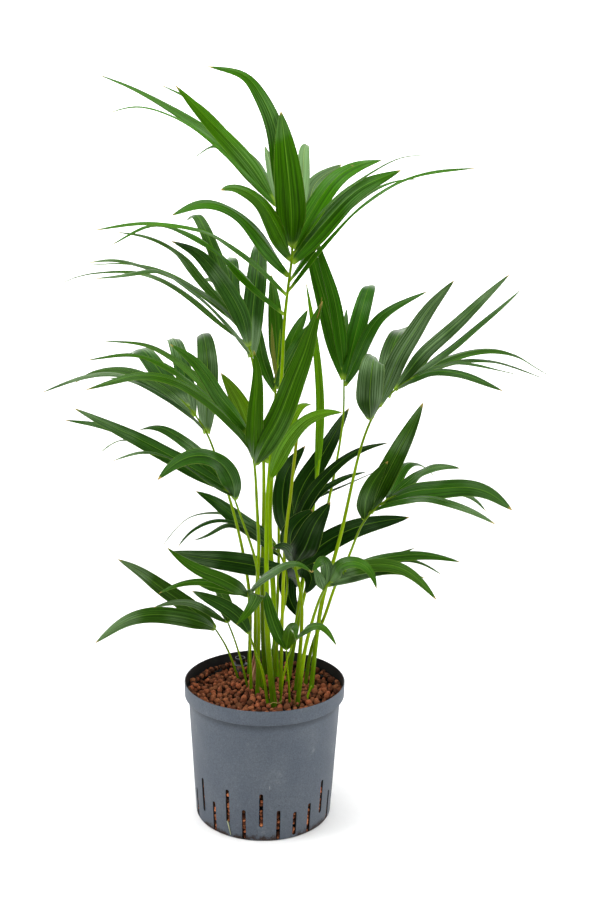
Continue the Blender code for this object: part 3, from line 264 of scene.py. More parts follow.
        Leaflet(33.0, 1.7, 30, [(9.9, 35.3, -10), (11.5, 35.9, -11.5), (13.2, 35.7, -12.5),
            (14.6, 34, -13), (15, 32.1, -13)]),
        Leaflet(33.7, 1.6, 40, [(12, 35, -9), (15.1, 35.6, -10), (17.5, 35.4, -11),
            (19.8, 34.3, -12), (21.6, 32.6, -13), (23.2, 30.7, -14)]),
        Leaflet(34.4, 1.5, 60, [(12.9, 35.7, -8), (15.4, 36.4, -8), (18.3, 36.9, -8),
            (21.3, 37, -8), (23.9, 36.7, -8), (26.2, 36.1, -8)]),
        Leaflet(34.6, 1.1, 65, [(13, 35.9, -6), (15.5, 36.5, -5), (18, 37.2, -4), (20, 38, -3)]),
        Leaflet(34.2, 1.1, 80, [(14, 35.6, -6), (18.5, 36.4, -6), (20.5, 36.1, -6),
            (22.1, 35.4, -6), (23.7, 34.3, -6)]),
        Leaflet(32.6, 1.7, 60, [(9.9, 33.4, -7), (12.8, 34.2, -7), (17, 34.9, -8),
            (21.4, 33.8, -8)]),
        Leaflet(32.3, 1.5, 20, [(8.3, 34.6, -8), (7.9, 35.9, -9), (7.2, 35.9, -10),
            (6.2, 34.3, -11)]),
        Leaflet(31.8, 1.2, 10, [(7.1, 33.8, -8), (6.4, 35.2, -8.5)]),
        Leaflet(32.8, 1.3, 10, [(8.6, 34.6, -7), (8.7, 35.6, -6.5)]),
    ]),
    "frond_inner_right": Frond((4.3, 1.4), [
        (4.9, 25, 1), (4.9, 30.3, 0.5), (4.4, 33, 0.5), (3.9, 35, 0.5), (3.4, 37.5, 1),
        (3.1, 40, 2), (3.1, 42, 3),
    ], (0.6, 0.24), [
        Leaflet(38.5, 2.6, 0, [(2.1, 43, 1), (2.5, 48, 1), (5, 51.7, 0)]),
        Leaflet(40.5, 2.7, 20, [(4.6, 46, 4), (6.8, 49.6, 4.6), (8.4, 52.5, 5), (9.7, 55.2, 5),
            (10.7, 56.9, 5)]),
        Leaflet(39.5, 1.7, 45, [(5.6, 44.9, 1.2), (7.7, 47.6, 1.2), (9.9, 49.8, 1),
            (12.7, 51.5, 0.5), (16, 52.3, 0)]),
        Leaflet(38.7, 1.1, 60, [(6, 44.3, 1.8), (8.6, 46.6, 2.2), (11.3, 47.9, 3),
            (13.2, 48.3, 4)]),
        Leaflet(38.2, 1.0, 80, [(4.5, 43.4, 4), (7.7, 45.3, 5), (10.6, 46.6, 5), (15.3, 48.8, 5)]),
        Leaflet(35.6, 3.4, 0, [(5.3, 38, -2), (6.4, 41, -3), (8.5, 44.1, -4)]),
        Leaflet(36.6, 2.7, 10, [(3.2, 39.5, 0), (4.4, 41.5, -0.3), (6.2, 43, -0.8)]),
        Leaflet(35.4, 1.7, 30, [(3.2, 36.9, -3), (2.4, 38.1, -4), (0.7, 37.6, -5)]),
        Leaflet(34.6, 2.5, 20, [(5.2, 35, 2), (6.3, 33.6, 2), (5.4, 31.3, 2)]),
        Leaflet(33.2, 2.7, 10, [(3.0, 33.5, 4), (3.2, 30.5, 4.6), (4.9, 27.6, 5)]),
        Leaflet(35.0, 2.8, 30, [(8, 38.6, 1), (10, 39.7, 1), (12, 40.7, 1), (15.5, 41.6, 2),
            (19.1, 42.2, 3)]),
    ]),
    "frond_inner_left": Frond((1.0, 2.2), [
        (1.6, 24, 1.5), (2.6, 30, 1.9), (3.0, 33, 2.1), (2.6, 35, 2.6), (1.8, 37, 3.1),
        (0.9, 38.6, 3.3),
    ], (0.5, 0.22), [
        Leaflet(37.8, 2.2, 20, [(-1, 39.6, 3.4), (-3, 40.9, 3.8), (-5, 42.4, 4.3), (-7, 44, 5),
            (-9.5, 45.3, 5.5)]),
        Leaflet(38.4, 1.1, 85, [(-1, 40.5, 3.4), (-3, 42, 4.6), (-6, 42.4, 6.5), (-8, 42.4, 7.5),
            (-10.5, 41.7, 8.5), (-12.7, 39.5, 9), (-14, 37.6, 9)]),
        Leaflet(37.0, 1.1, 80, [(-1, 39.6, 3.4), (-3, 40.8, 3.2), (-5.5, 41.4, 3), (-7, 41.4, 2.5),
            (-9, 40.6, 2), (-11, 39, 1.5), (-11.9, 37.5, 1)]),
        Leaflet(36.5, 1.1, 60, [(0.6, 37.5, 3.5), (-1, 39, 3.5), (-3, 40.2, 3.5), (-5, 41, 3.5),
            (-6.5, 40.2, 3.4), (-8, 39.1, 3.2), (-9.8, 38.5, 3)]),
        Leaflet(35.0, 2.7, 20, [(0, 34.9, 2), (-3, 35.4, 1), (-6, 35.8, 0), (-9, 36.1, -1),
            (-12.9, 36.9, -2)]),
    ]),
    "frond_lower_left": Frond((-1.0, -0.4), [
        (-0.9, 25, -0.6), (-1.0, 30, -1.4), (-1.0, 33.5, -2.4), (-1.6, 36.5, -3.6),
        (-2.4, 39, -4.9), (-3.4, 41.7, -6), (-4.1, 43.8, -7), (-4.6, 45.2, -7.3),
        (-5.4, 46.4, -7.5),
    ], (0.54, 0.2), [
        Leaflet(45.4, 2.0, 30, [(-8, 47.3, -8), (-11.5, 49.3, -9), (-14, 50.6, -10),
            (-17, 52.2, -11), (-20, 53.6, -12), (-25.5, 56.2, -13)]),
        Leaflet(46.0, 1.5, 50, [(-9, 48.6, -7), (-12, 50, -7), (-16, 51.8, -7), (-18.5, 52.9, -7),
            (-22, 54, -7), (-26.8, 54.6, -7)]),
        Leaflet(45.8, 1.2, 80, [(-8, 47.9, -6), (-13, 51, -5), (-16, 51.9, -4), (-18.5, 52.2, -3),
            (-20.5, 51.7, -2), (-22.2, 50.2, -1)]),
        Leaflet(44.8, 1.2, 65, [(-7, 46.1, -9), (-9, 47.6, -10), (-11.5, 49.2, -11),
            (-13.5, 50, -12), (-16, 50.6, -13), (-18, 50.2, -14), (-20.5, 49.2, -15)]),
        Leaflet(44.1, 2.4, 35, [(-4.6, 46.8, -9), (-6.0, 49.0, -10), (-8.5, 50.2, -12),
            (-11, 49.8, -13), (-13, 48.4, -14), (-14.6, 46.7, -15)]),
        Leaflet(45.0, 1.6, 55, [(-7, 48, -7), (-9, 50.4, -6), (-11, 52, -5), (-13.5, 53.6, -4),
            (-15.5, 53.9, -3), (-17, 53.4, -2)]),
    ]),
    "frond_young": Frond((-1.9, 0.9), [
        (-2.1, 24, -0.6), (-2.3, 28, -2.6), (-2.3, 30.8, -5), (-2.3, 31.4, -5.6),
    ], (0.4, 0.24), [
        Leaflet(30.7, 1.6, 20, [(-4, 32.1, -7), (-6.3, 33.3, -8), (-9, 34.3, -9), (-12, 36.2, -10),
            (-13.4, 37.5, -10)]),
        Leaflet(30.9, 1.2, 55, [(-3.5, 31.6, -6), (-6, 32.4, -6), (-9, 32.8, -6), (-12, 32.3, -6),
            (-14.5, 31, -6)]),
        Leaflet(31.2, 1.3, 35, [(-4.3, 31.8, -5), (-6.5, 31.8, -4.5), (-9, 32.2, -4)]),
        Leaflet(31.1, 1.6, 45, [(-1.5, 32.5, -7.5), (0.5, 34, -9), (2.5, 35.2, -10),
            (4.2, 35.6, -11), (5.6, 34.9, -12), (6.2, 34.3, -12)]),
        Leaflet(30.8, 1.7, 0, [(-1.2, 31.2, -8), (-1.7, 29.6, -9.5), (-2.8, 28, -10),
            (-4, 26.7, -10)]),
    ]),
    "seedling_left": Frond((-3.8, 4.8), [
        (-4.6, 21.8, 2.6), (-5.5, 23.9, 2.1), (-6.9, 26.2, 1.4),
    ], (0.32, 0.22), [
        Leaflet(26.1, 2.2, 10, [(-8.5, 27.7, 1), (-11, 29.6, 1), (-14, 31.7, 0), (-17, 34, -1),
            (-20, 35.7, -2)]),
        Leaflet(26.0, 2.2, 25, [(-8, 26.7, 0.5), (-11, 27.6, -1), (-15.5, 28, -2), (-19, 27.1, -3),
            (-21.2, 25.5, -3.5), (-23.3, 23.7, -4)]),
    ]),
    "seedling_left_inner": Frond((-2.4, 2.3), [
        (-3.4, 22, 1.0), (-4.3, 24.9, 0.3), (-5.2, 27.2, -0.8),
    ], (0.3, 0.22), [
        Leaflet(27.1, 1.2, 50, [(-7.8, 28.7, -2), (-10, 29.7, -3), (-12.5, 29.8, -4),
            (-15.2, 29, -5)]),
        Leaflet(27.0, 1.8, 10, [(-5.4, 29.5, -1), (-6.2, 31.5, 0), (-7.2, 32.6, 1)]),
    ]),
    "seedling_front_left": Frond((0.6, -3.6), [
        (-0.3, 20, -2.2), (-1.2, 22.5, -2.3), (-1.9, 24.6, -2.5), (-2.2, 25.6, -2.6),
    ], (0.4, 0.26), [
        Leaflet(25.4, 1.9, 20, [(-3.4, 27.6, -3), (-5.4, 29.2, -3.5), (-7.6, 30.3, -4),
            (-10, 31.4, -4.5)]),
    ]),
    "seedling_front": Frond((3.5, -3.4), [
        (3.3, 18.5, -2.4), (3.0, 21.5, -3.5), (2.9, 23.4, -4.6),
    ], (0.28, 0.2), [
        Leaflet(23.2, 1.6, 0, [(1.7, 25.5, -6), (0.8, 28, -6.5), (0.1, 30.6, -6.5),
            (0.0, 31.5, -5)]),
        Leaflet(23.2, 1.5, 30, [(3.4, 26.2, -8), (4.1, 26.7, -9.4), (4.3, 24.5, -10.4)]),
    ]),
    "seedling_front_right": Frond((2.2, -3.5), [
        (2.5, 19, -2.7), (3.1, 22, -4.3), (3.9, 24.7, -5.8),
    ], (0.28, 0.2), [
        Leaflet(24.5, 1.2, 45, [(5.2, 26, -8), (7, 26.9, -9), (8.4, 26.2, -10), (9.8, 23.9, -11)]),
    ]),
}

# Each frond's green, and how much painted grey sheen, a painted highlight, shows on its leaflets.
FROND_GREENS = {
    "frond_top": (0.0216, 0.0864, 0.0003, 0.22),
    "frond_upper_left": (0.0200, 0.0624, 0.0072, 0.90),
    "frond_middle_left": (0.0160, 0.0496, 0.0064, 0.95),
    "frond_front": (0.0192, 0.0720, 0.0006, 0.15),
    "frond_centre": (0.0608, 0.1480, 0.0016, 0.10),
    "frond_centre_back": (0.0192, 0.0720, 0.0008, 0.20),
    "frond_upper_right": (0.0152, 0.0646, 0.0011, 0.35),
    "frond_right": (0.0129, 0.0471, 0.0030, 0.60),
    "frond_middle_right": (0.0137, 0.0517, 0.0019, 0.50),
    "frond_lower_right": (0.0208, 0.0640, 0.0032, 0.60),
    # frond_inner_right and frond_inner_left, deep in the crown, have greens set darker as painted
    # shade.
    "frond_inner_right": (0.0034, 0.0190, 0.0007, 0.25),
    "frond_inner_left": (0.0064, 0.0320, 0.0016, 0.40),
    "frond_lower_left": (0.0106, 0.0458, 0.0026, 0.70),
    "frond_young": (0.0192, 0.0688, 0.0016, 0.50),
    "seedling_left": (0.0167, 0.0546, 0.0040, 0.70),
    "seedling_left_inner": (0.0168, 0.0512, 0.0048, 0.60),
    "seedling_front_left": (0.0144, 0.0448, 0.0040, 0.60),
    "seedling_front": (0.0176, 0.0608, 0.0016, 0.30),
    "seedling_front_right": (0.0224, 0.0720, 0.0016, 0.30),
    "spear_leaf": (0.0570, 0.1615, 0.0014, 0.05),
    "cut_stalk": (0.1350, 0.1215, 0.0063, 0.00),
}

# Stalks: how dark each one is at its foot, and the greens from its foot up.
STALK_TONE = 0.8
STALK_TONES = {
    "frond_centre": 0.52, "frond_front": 0.90, "frond_upper_left": 0.50, "frond_inner_left": 0.60,
    "frond_right": 1.15, "frond_top": 1.10, "frond_upper_right": 0.95, "frond_young": 1.20,
}
STALK_GREEN = Vector((0.240, 0.370, 0.002))
STALK_FOOT = Vector((0.105, 0.235, 0.002))
STALK_SHADOW = (0.034, 0.100, 0.001)
STALK_SCAR = (0.170, 0.085, 0.020)
STALK_SIDES = 12

# Leaflets: what their own green is mixed with, and their build. The fullness makes up for what
# the fold and the pointed ends take from the width.
# A grey painted sheen that stands in for glossy highlights on the leaflets.
LEAF_PAINTED_SHEEN = (0.170, 0.255, 0.130)
LEAF_MIDRIB = (0.120, 0.270, 0.012)
LEAF_EDGE = (0.150, 0.240, 0.030)
LEAF_BASE = (0.240, 0.380, 0.030)
LEAF_SPOT = (0.180, 0.100, 0.030)
LEAF_GLOSS = (0.60, 1.0, 0.35)
DRY_TIP = (0.330, 0.230, 0.060)
DRY_BLADE = (0.130, 0.150, 0.022)
UNDER_GREEN = (0.135, 0.215, 0.098)
UNDER_MIDRIB = (0.340, 0.480, 0.130)
UNDER_DRY_TIP = (0.330, 0.230, 0.080)
UNDER_DRY_BLADE = (0.170, 0.175, 0.040)
DRY_LEAFLETS = {("frond_centre_back", 60.5)}
BLADE_THICKNESS = 0.0005
BLADE_COLUMNS = 14
BLADE_FULLNESS = 1.14
LEAF_STEP = 0.012

# The setting. Each lamp has its place, its side in metres, its power in watts, and its aim.
FLOOR_WIDTH, FLOOR_LENGTH, FLOOR_FRONT, FLOOR_FLAT = 22, 13.0, 9.2, 1.4
LAMPS = (
    ("overhead_softbox", (-0.3, -0.3, 2.7), 1.6, 54.0, (0, 0, 0.5)),
    ("left_softbox", (-2.4, -0.7, 1.5), 1.2, 42.0, (0, 0, 0.5)),
    ("right_softbox", (2.5, -0.5, 1.3), 1.2, 40.0, (0, 0, 0.5)),
    ("front_softbox", (0.5, -2.6, 1.9), 1.2, 20.0, (0, 0, 0.5)),
    ("backdrop_wash", (0, 0.8, 3.0), 2.6, 70.0, (0, 3.2, 0.6)),
)
CAMERA_AT = (0.0431, -1.448, 0.785)
CAMERA_TILT = math.radians(10.71)
CAMERA_ROLL = math.radians(0.97)
CAMERA_LENS = 44.56

chance = random.Random(7)


def deselect_all():
    """Leave nothing selected, so that an operator acts only on what is picked next."""
    for thing in bpy.context.selected_objects:
        thing.select_set(False)


def pick(*pieces):
    """Select these pieces only, with the first one active."""
    deselect_all()
    for piece in pieces:
        piece.select_set(True)
    bpy.context.view_layer.objects.active = pieces[0]


def join(pieces, name):
    """Join pieces into the first one and name it."""
    pick(*pieces)
    if len(pieces) > 1:
        bpy.ops.object.join()
    piece = bpy.context.active_object
    piece.name = name
    piece.data.name = name
    return piece


def apply_modifiers(piece):
    """Apply every modifier of a piece, in order."""
    pick(piece)
    for modifier in list(piece.modifiers):
        bpy.ops.object.modifier_apply(modifier=modifier.name)


def rolled_grid(name, columns, rows, place_of, closed=False):
    """A grid with each point moved to place_of(across, along), both running from 0 to 1.

    A closed one is rolled up: its two long sides and its poles are merged, and any open end is
    filled, with faces that point outwards.
    """
    deselect_all()
    bpy.ops.mesh.primitive_grid_add(x_subdivisions=columns, y_subdivisions=rows, size=1, calc_uvs=True)
    piece = bpy.context.active_object
    piece.name = name
    for vertex in piece.data.vertices:
        vertex.co = place_of(vertex.co.x + 0.5, vertex.co.y + 0.5)
    if closed:
        bpy.ops.object.mode_set(mode="EDIT")
        bpy.ops.mesh.select_all(action="SELECT")
        bpy.ops.mesh.remove_doubles(threshold=1e-6)
        bpy.ops.mesh.select_all(action="DESELECT")
        bpy.ops.mesh.select_non_manifold()
        bpy.ops.mesh.fill_holes(sides=0)
        bpy.ops.mesh.select_all(action="SELECT")
        bpy.ops.mesh.normals_make_consistent(inside=False)
        bpy.ops.object.mode_set(mode="OBJECT")
    return piece


def turned(name, profile, sides, at=Vector()):
    """A closed body: a profile of (radius, height) points turned round the vertical."""
    def place_of(across, along):
        radius, height = profile[round(along * (len(profile) - 1))]
        angle = math.tau * across
        return at + Vector((radius * math.cos(angle), radius * math.sin(angle), height))
    return rolled_grid(name, sides, len(profile) - 1, place_of, closed=True)


def smooth_shading(piece, degrees=180):
    """Shade smoothly across every edge flatter than an angle."""
    pick(piece)
    bpy.ops.object.shade_smooth_by_angle(angle=math.radians(degrees))


def paint(piece, attribute, colour_of):
    """Give a piece a colour attribute: colour_of(vertex) for each point."""
    layer = piece.data.attributes.new(attribute, "FLOAT_COLOR", "POINT")
    for vertex in piece.data.vertices:
        layer.data[vertex.index].color = (*colour_of(vertex), 1.0)


def part_of_object(piece, slot, *nodes):
    """Let a piece ride with the plant and stand for its CAD nodes. The slot argument is not used."""
    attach(piece, "root")
    if nodes:
        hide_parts(*nodes)
    return piece


# ---------------------------------------------------------------- finishes


class Signal:
    """A number that varies over a surface, for shader maths written as plain expressions."""

    def __init__(self, finish, socket):
        self.finish, self.socket = finish, socket

    def __add__(self, other):
        return self.finish.maths("ADD", self, other)

    def __sub__(self, other):
        return self.finish.maths("SUBTRACT", self, other)

    def __rsub__(self, other):
        return self.finish.maths("SUBTRACT", other, self)

    def __mul__(self, other):
        return self.finish.maths("MULTIPLY", self, other)

    def __pow__(self, power):
        return self.finish.maths("POWER", self, power)

    __radd__ = __add__
    __rmul__ = __mul__


class Finish:
    """A material on one Principled shader, with its patterns added a node at a time."""

    def __init__(self, name, **constants):
        self.material = bpy.data.materials.new(name)
        self.material.use_nodes = True
        self.tree = self.material.node_tree
        self.shader = self.tree.nodes["Principled BSDF"]
        for socket, value in constants.items():
            self.feed(self.shader.inputs[socket.replace("_", " ")], value)

    def feed(self, socket, value):
        """Link a signal or an output to a socket, or set the socket's own value."""
        if isinstance(value, Signal):
            value = value.socket
        if isinstance(value, bpy.types.NodeSocket):
            self.tree.links.new(value, socket)
        elif isinstance(value, (tuple, Vector)) and socket.type == "RGBA":
            socket.default_value = (*value, 1.0)
        else:
            socket.default_value = value

    def node(self, kind, settings, **sockets):
        """Add a node: its settings first, then its sockets, by name or as i0, i1 by place."""
        made = self.tree.nodes.new(kind)
        for name, value in settings.items():
            setattr(made, name, value)
        for name, value in sockets.items():
            key = int(name[1:]) if name[1:].isdigit() else name.replace("_", " ")
            self.feed(made.inputs[key], value)
        return made

    def maths(self, operation, first, second=0.0):
        made = self.node("ShaderNodeMath", {"operation": operation}, i0=first, i1=second)
        return Signal(self, made.outputs[0])

    def coordinates(self, kind="Object"):
        return self.node("ShaderNodeTexCoord", {}).outputs[kind]

    def parts(self, vector):
        made = self.node("ShaderNodeSeparateXYZ", {}, Vector=vector)
        return [Signal(self, output) for output in made.outputs]

    def vector(self, x, y, z):
        return self.node("ShaderNodeCombineXYZ", {}, X=x, Y=y, Z=z).outputs[0]

    def painted(self, name):
        """A colour attribute of the piece."""
        return self.node("ShaderNodeAttribute", {"attribute_name": name}).outputs["Color"]

    def noise(self, vector, scale, detail=3.0, roughness=0.55):
        made = self.node(
            "ShaderNodeTexNoise", {}, Vector=vector, Scale=scale, Detail=detail, Roughness=roughness)
        return Signal(self, made.outputs["Fac"])

    def cells(self, vector, scale):
        """Distance to the nearest of scattered points."""
        made = self.node("ShaderNodeTexVoronoi", {}, Vector=vector, Scale=scale)
        return Signal(self, made.outputs["Distance"])

    def step(self, value, start, end):
        """A smooth rise from 0 at start to 1 at end. It falls where end is below start."""
        rising = start < end
        made = self.node(
            "ShaderNodeMapRange", {"interpolation_type": "SMOOTHSTEP", "clamp": True}, Value=value,
            From_Min=min(start, end), From_Max=max(start, end),
            To_Min=0.0 if rising else 1.0, To_Max=1.0 if rising else 0.0)
        return Signal(self, made.outputs["Result"])

    def mix(self, share, first, second, blend="MIX"):
        """Mix two colours. A blend other than MIX works on the first colour."""
        made = self.node(
            "ShaderNodeMix", {"data_type": "RGBA", "blend_type": blend}, i0=share, i6=first, i7=second)
        return made.outputs[2]

    def shade(self, colour, amount):
        """Multiply a colour by a number that varies."""
        grey = self.node("ShaderNodeCombineColor", {}, Red=amount, Green=amount, Blue=amount).outputs[0]
        return self.mix(1.0, colour, grey, "MULTIPLY")

    def relief(self, height, distance, strength=1.0):
        """Raise the surface by a height pattern, on top of any relief before it."""
        bump = self.node("ShaderNodeBump", {}, Height=height, Distance=distance, Strength=strength)
        before = self.shader.inputs["Normal"].links
        if before:
            self.tree.links.new(before[0].from_socket, bump.inputs["Normal"])
        self.feed(self.shader.inputs["Normal"], bump.outputs[0])

    def colour(self, value):
        self.feed(self.shader.inputs["Base Color"], value)

    def roughness(self, value):
        self.feed(self.shader.inputs["Roughness"], value)


def leaf_veins(finish):
    """Patterns that run the length of a leaflet: broad pleats, fine veins and the midrib."""
    across, along, _ = finish.parts(finish.coordinates("UV"))
    tint = finish.painted("leaf_colour")
    number, painted_sheen, dryness = finish.parts(finish.painted("leaf_number"))
    fine = finish.noise(finish.vector(across * 34.0, along * 1.1, number * 40.0), 1.0, 3.0, 0.65)
    broad = finish.noise(finish.vector(across * 15.0, along * 0.7, number * 90.0), 1.0, 1.0, 0.5)
    midrib = finish.step(finish.maths("ABSOLUTE", across - 0.5), 0.022, 0.008)
    return across, along, tint, painted_sheen, dryness, fine, broad, midrib


def leaf_upper_finish():
    """The glossy upper side: saturated green, streaked along its veins, with grey streaks of painted
    sheen and dry tips.
    """
    finish = Finish("leaf_upper", Specular_IOR_Level=0.08, Specular_Tint=LEAF_GLOSS)
    across, along, tint, painted_sheen, dryness, fine, broad, midrib = leaf_veins(finish)
    where = finish.coordinates("Object")
    patches = finish.noise(where, 26.0, 3.0)
    light = 0.30 + 0.80 * finish.step(fine, 0.42, 0.60)
    light = light + 0.26 * finish.step(broad, 0.34, 0.66) + 0.40 * patches
    colour = finish.shade(tint, light)
    # Pale streaks of painted sheen, scaled by each frond's sheen share.
    pale = finish.step(finish.noise(where, 9.0, 2.0), 0.48, 0.62) * finish.step(fine, 0.36, 0.60)
    colour = finish.mix(pale * painted_sheen * 0.85, colour, LEAF_PAINTED_SHEEN)
    colour = finish.mix(midrib * 0.40, colour, LEAF_MIDRIB)
    edge = finish.step(finish.maths("ABSOLUTE", across - 0.5), 0.470, 0.497)
    colour = finish.mix(edge * 0.45, colour, LEAF_EDGE)
    colour = finish.mix(finish.step(along, 0.055, 0.0) * 0.8, colour, LEAF_BASE)
    dry = finish.step(along + 0.05 * finish.noise(where, 60.0, 2.0), 0.985, 1.02)
    colour = finish.mix(dry * 0.85, colour, DRY_TIP)
    spots = finish.step(finish.cells(where, 30.0), 0.075, 0.03)
    colour = finish.mix(spots * finish.step(patches, 0.56, 0.64) * 0.7, colour, LEAF_SPOT)
    colour = finish.mix(dryness, colour, finish.shade(DRY_BLADE, 0.5 + fine))
    finish.colour(colour)
    finish.roughness(0.26 + 0.12 * patches + 0.12 * fine)
    finish.relief(finish.step(broad, 0.30, 0.70), 0.0004, 0.5)
    finish.relief(fine, 0.0001, 0.4)
    finish.relief(midrib, 0.0003, 0.5)
    return finish.material


def leaf_under_finish():
    """The matt under side: pale grey-green, with the same veins standing out."""
    finish = Finish("leaf_under", Specular_IOR_Level=0.08, Specular_Tint=LEAF_GLOSS)
    across, along, tint, painted_sheen, dryness, fine, broad, midrib = leaf_veins(finish)
    where = finish.coordinates("Object")
    light = 0.50 + 0.52 * finish.step(fine, 0.40, 0.60) + 0.30 * finish.step(broad, 0.34, 0.66)
    # The under side is made paler still by the frond's share of painted sheen.
    pale = finish.mix(0.60 + 0.25 * painted_sheen, tint, UNDER_GREEN)
    colour = finish.shade(pale, light)
    colour = finish.mix(midrib * 0.6, colour, UNDER_MIDRIB)
    dry = finish.step(along + 0.05 * finish.noise(where, 60.0, 2.0), 0.985, 1.02)
    colour = finish.mix(dry * 0.85, colour, UNDER_DRY_TIP)
    colour = finish.mix(dryness, colour, finish.shade(UNDER_DRY_BLADE, 0.5 + fine))
    finish.colour(colour)
    finish.roughness(0.46 + 0.12 * fine)
    finish.relief(finish.step(broad, 0.30, 0.70), 0.0003, 0.5)
    finish.relief(fine, 0.0001, 0.4)
    return finish.material


def stalk_finish():
    """Smooth stalks: fine fibres lengthwise, a soft shine, painted shade down one side and in dark
    stripes, and old brown scars near the foot.
    """
    finish = Finish("palm_stalk", Specular_IOR_Level=0.10, Specular_Tint=(0.75, 1.0, 0.20))
    around, along, _ = finish.parts(finish.coordinates("UV"))
    tint = finish.painted("leaf_colour")
    where = finish.coordinates("Object")
    low = finish.parts(where)[2]
    fibres = finish.noise(finish.vector(around * 26.0, along * 7.0, low * 2.0), 1.0, 3.0, 0.6)
    mottle = finish.noise(where, 55.0, 3.0)
    # Painted shade: the side of each stalk towards -x is darkened.
    edge = finish.step(finish.maths("ABSOLUTE", around - 0.5), 0.30, 0.50)
    colour = finish.shade(tint, 0.26 + 0.86 * fibres + 0.56 * mottle - 0.30 * edge)
    # Dark lengthwise stripes in the stalk shadow green, as painted shade.
    shade_stripe = finish.noise(finish.vector(around * 5.0, along * 0.9, 7.0), 1.0, 1.0)
    colour = finish.mix(finish.step(shade_stripe, 0.47, 0.60) * 0.50, colour, STALK_SHADOW)
    bands = finish.noise(finish.vector(around * 9.0, low * 70.0, 3.0), 1.0, 3.0)
    scars = finish.step(bands, 0.60, 0.70)
    colour = finish.mix(scars * finish.step(low, 0.44, 0.19) * 0.8, colour, STALK_SCAR)
    finish.colour(colour)
    finish.roughness(0.34 + 0.16 * fibres)
    finish.relief(fibres, 0.0002, 0.5)
    return finish.material


def clay_finish():
    """Baked clay: matt, pitted, and darker in its pores."""
    finish = Finish("baked_clay", Specular_IOR_Level=0.15)
    where = finish.coordinates("Object")
    tint = finish.painted("granule_colour")
    grain = finish.noise(where, 900.0, 4.0, 0.7)
    blotch = finish.noise(where, 230.0, 3.0, 0.6)
    pores = finish.step(finish.cells(where, 1100.0), 0.05, 0.22)
    colour = finish.shade(tint, 0.45 + 0.55 * grain + 0.55 * blotch)
    colour = finish.mix((1.0 - pores) * 0.55, colour, (0.030, 0.010, 0.004))
    finish.colour(colour)
    finish.roughness(0.86 + 0.12 * grain)
    finish.relief(blotch, 0.0012, 0.9)
    finish.relief(grain, 0.0005, 0.9)
    return finish.material


def deep_clay_finish():
    """The bed below the loose granules, painted near black as the shade under them."""
    finish = Finish("painted_shade_clay", Specular_IOR_Level=0.1)
    where = finish.coordinates("Object")
    lumps = finish.cells(where, 150.0)
    colour = finish.mix(finish.step(lumps, 0.5, 0.15), (0.006, 0.003, 0.002), (0.045, 0.018, 0.008))
    finish.colour(colour)
    finish.roughness(0.9 + 0.1 * finish.noise(where, 300.0))
    finish.relief(1.0 - lumps, 0.003, 1.0)
    return finish.material


def pot_outside_finish():
    """Blue-grey recycled plastic: fine speckle, pale rubs, a painted shadow under the band, and dirt
    round the base.
    """
    finish = Finish("pot_outside", Specular_IOR_Level=0.20)
    where = finish.coordinates("Object")
    height = finish.parts(where)[2]
    speckle = finish.noise(where, 640.0, 3.0, 0.75)
    cloud = finish.noise(where, 16.0, 4.0, 0.6)
    grain = finish.noise(where, 330.0, 3.0, 0.7)
    colour = finish.mix(finish.step(cloud, 0.3, 0.75), (0.067, 0.080, 0.101), (0.086, 0.100, 0.119))
    colour = finish.shade(colour, 0.22 + 1.05 * speckle + 0.50 * grain)
    # Painted shadow in a strip just under the band.
    band_shadow = finish.step(height, 0.1565, 0.1675) * finish.step(height, 0.1705, 0.1690)
    colour = finish.shade(colour, 1.0 - 0.42 * band_shadow)
    smears = finish.step(finish.noise(where, 34.0, 5.0, 0.7), 0.60, 0.78)
    colour = finish.mix(smears * 0.30, colour, (0.300, 0.330, 0.335))
    x, y, _ = finish.parts(where)
    upright = finish.noise(finish.vector(x * 330.0, y * 330.0, height * 26.0), 1.0, 2.0)
    scratches = finish.step(upright, 0.70, 0.76) * finish.step(smears + cloud, 0.50, 0.66)
    colour = finish.mix(scratches * 0.45, colour, (0.420, 0.450, 0.440))
    specks = finish.step(finish.cells(where, 75.0), 0.065, 0.035) * finish.step(cloud, 0.46, 0.6)
    colour = finish.mix(specks * 0.75, colour, (0.030, 0.026, 0.022))
    dirt = finish.step(height + 0.018 * finish.noise(where, 150.0, 4.0, 0.7), 0.0185, 0.0120)
    dirt = dirt * finish.step(finish.noise(where, 40.0, 3.0, 0.6), 0.42, 0.50)
    colour = finish.mix(dirt * 0.95, colour, (0.022, 0.012, 0.008))
    finish.colour(colour)
    finish.roughness(0.50 + 0.16 * grain + 0.10 * smears)
    finish.relief(grain, 0.0003, 0.5)
    finish.relief(speckle, 0.0001, 0.5)
    return finish.material


def pot_inside_finish():
    """The black inner layer, with a dull film of dust."""
    finish = Finish("pot_inside", Specular_IOR_Level=0.4)
    where = finish.coordinates("Object")
    dust = finish.noise(where, 60.0, 4.0, 0.65)
    film = finish.step(dust, 0.5, 0.75) * 0.5
    finish.colour(finish.mix(film, (0.006, 0.007, 0.007), (0.024, 0.026, 0.026)))
    finish.roughness(0.42 + 0.25 * dust)
    finish.relief(finish.noise(where, 420.0, 2.0), 0.0002, 0.4)
    return finish.material


def clear_plastic_finish():
    """Clear gauge plastic, slightly clouded."""
    finish = Finish("clear_plastic", Alpha=0.07, Specular_IOR_Level=0.5)
    cloud = finish.noise(finish.coordinates("Object"), 240.0, 3.0)
    finish.colour(finish.mix(cloud, (0.20, 0.23, 0.24), (0.34, 0.37, 0.38)))
    finish.roughness(0.08 + 0.14 * cloud)
    return finish.material


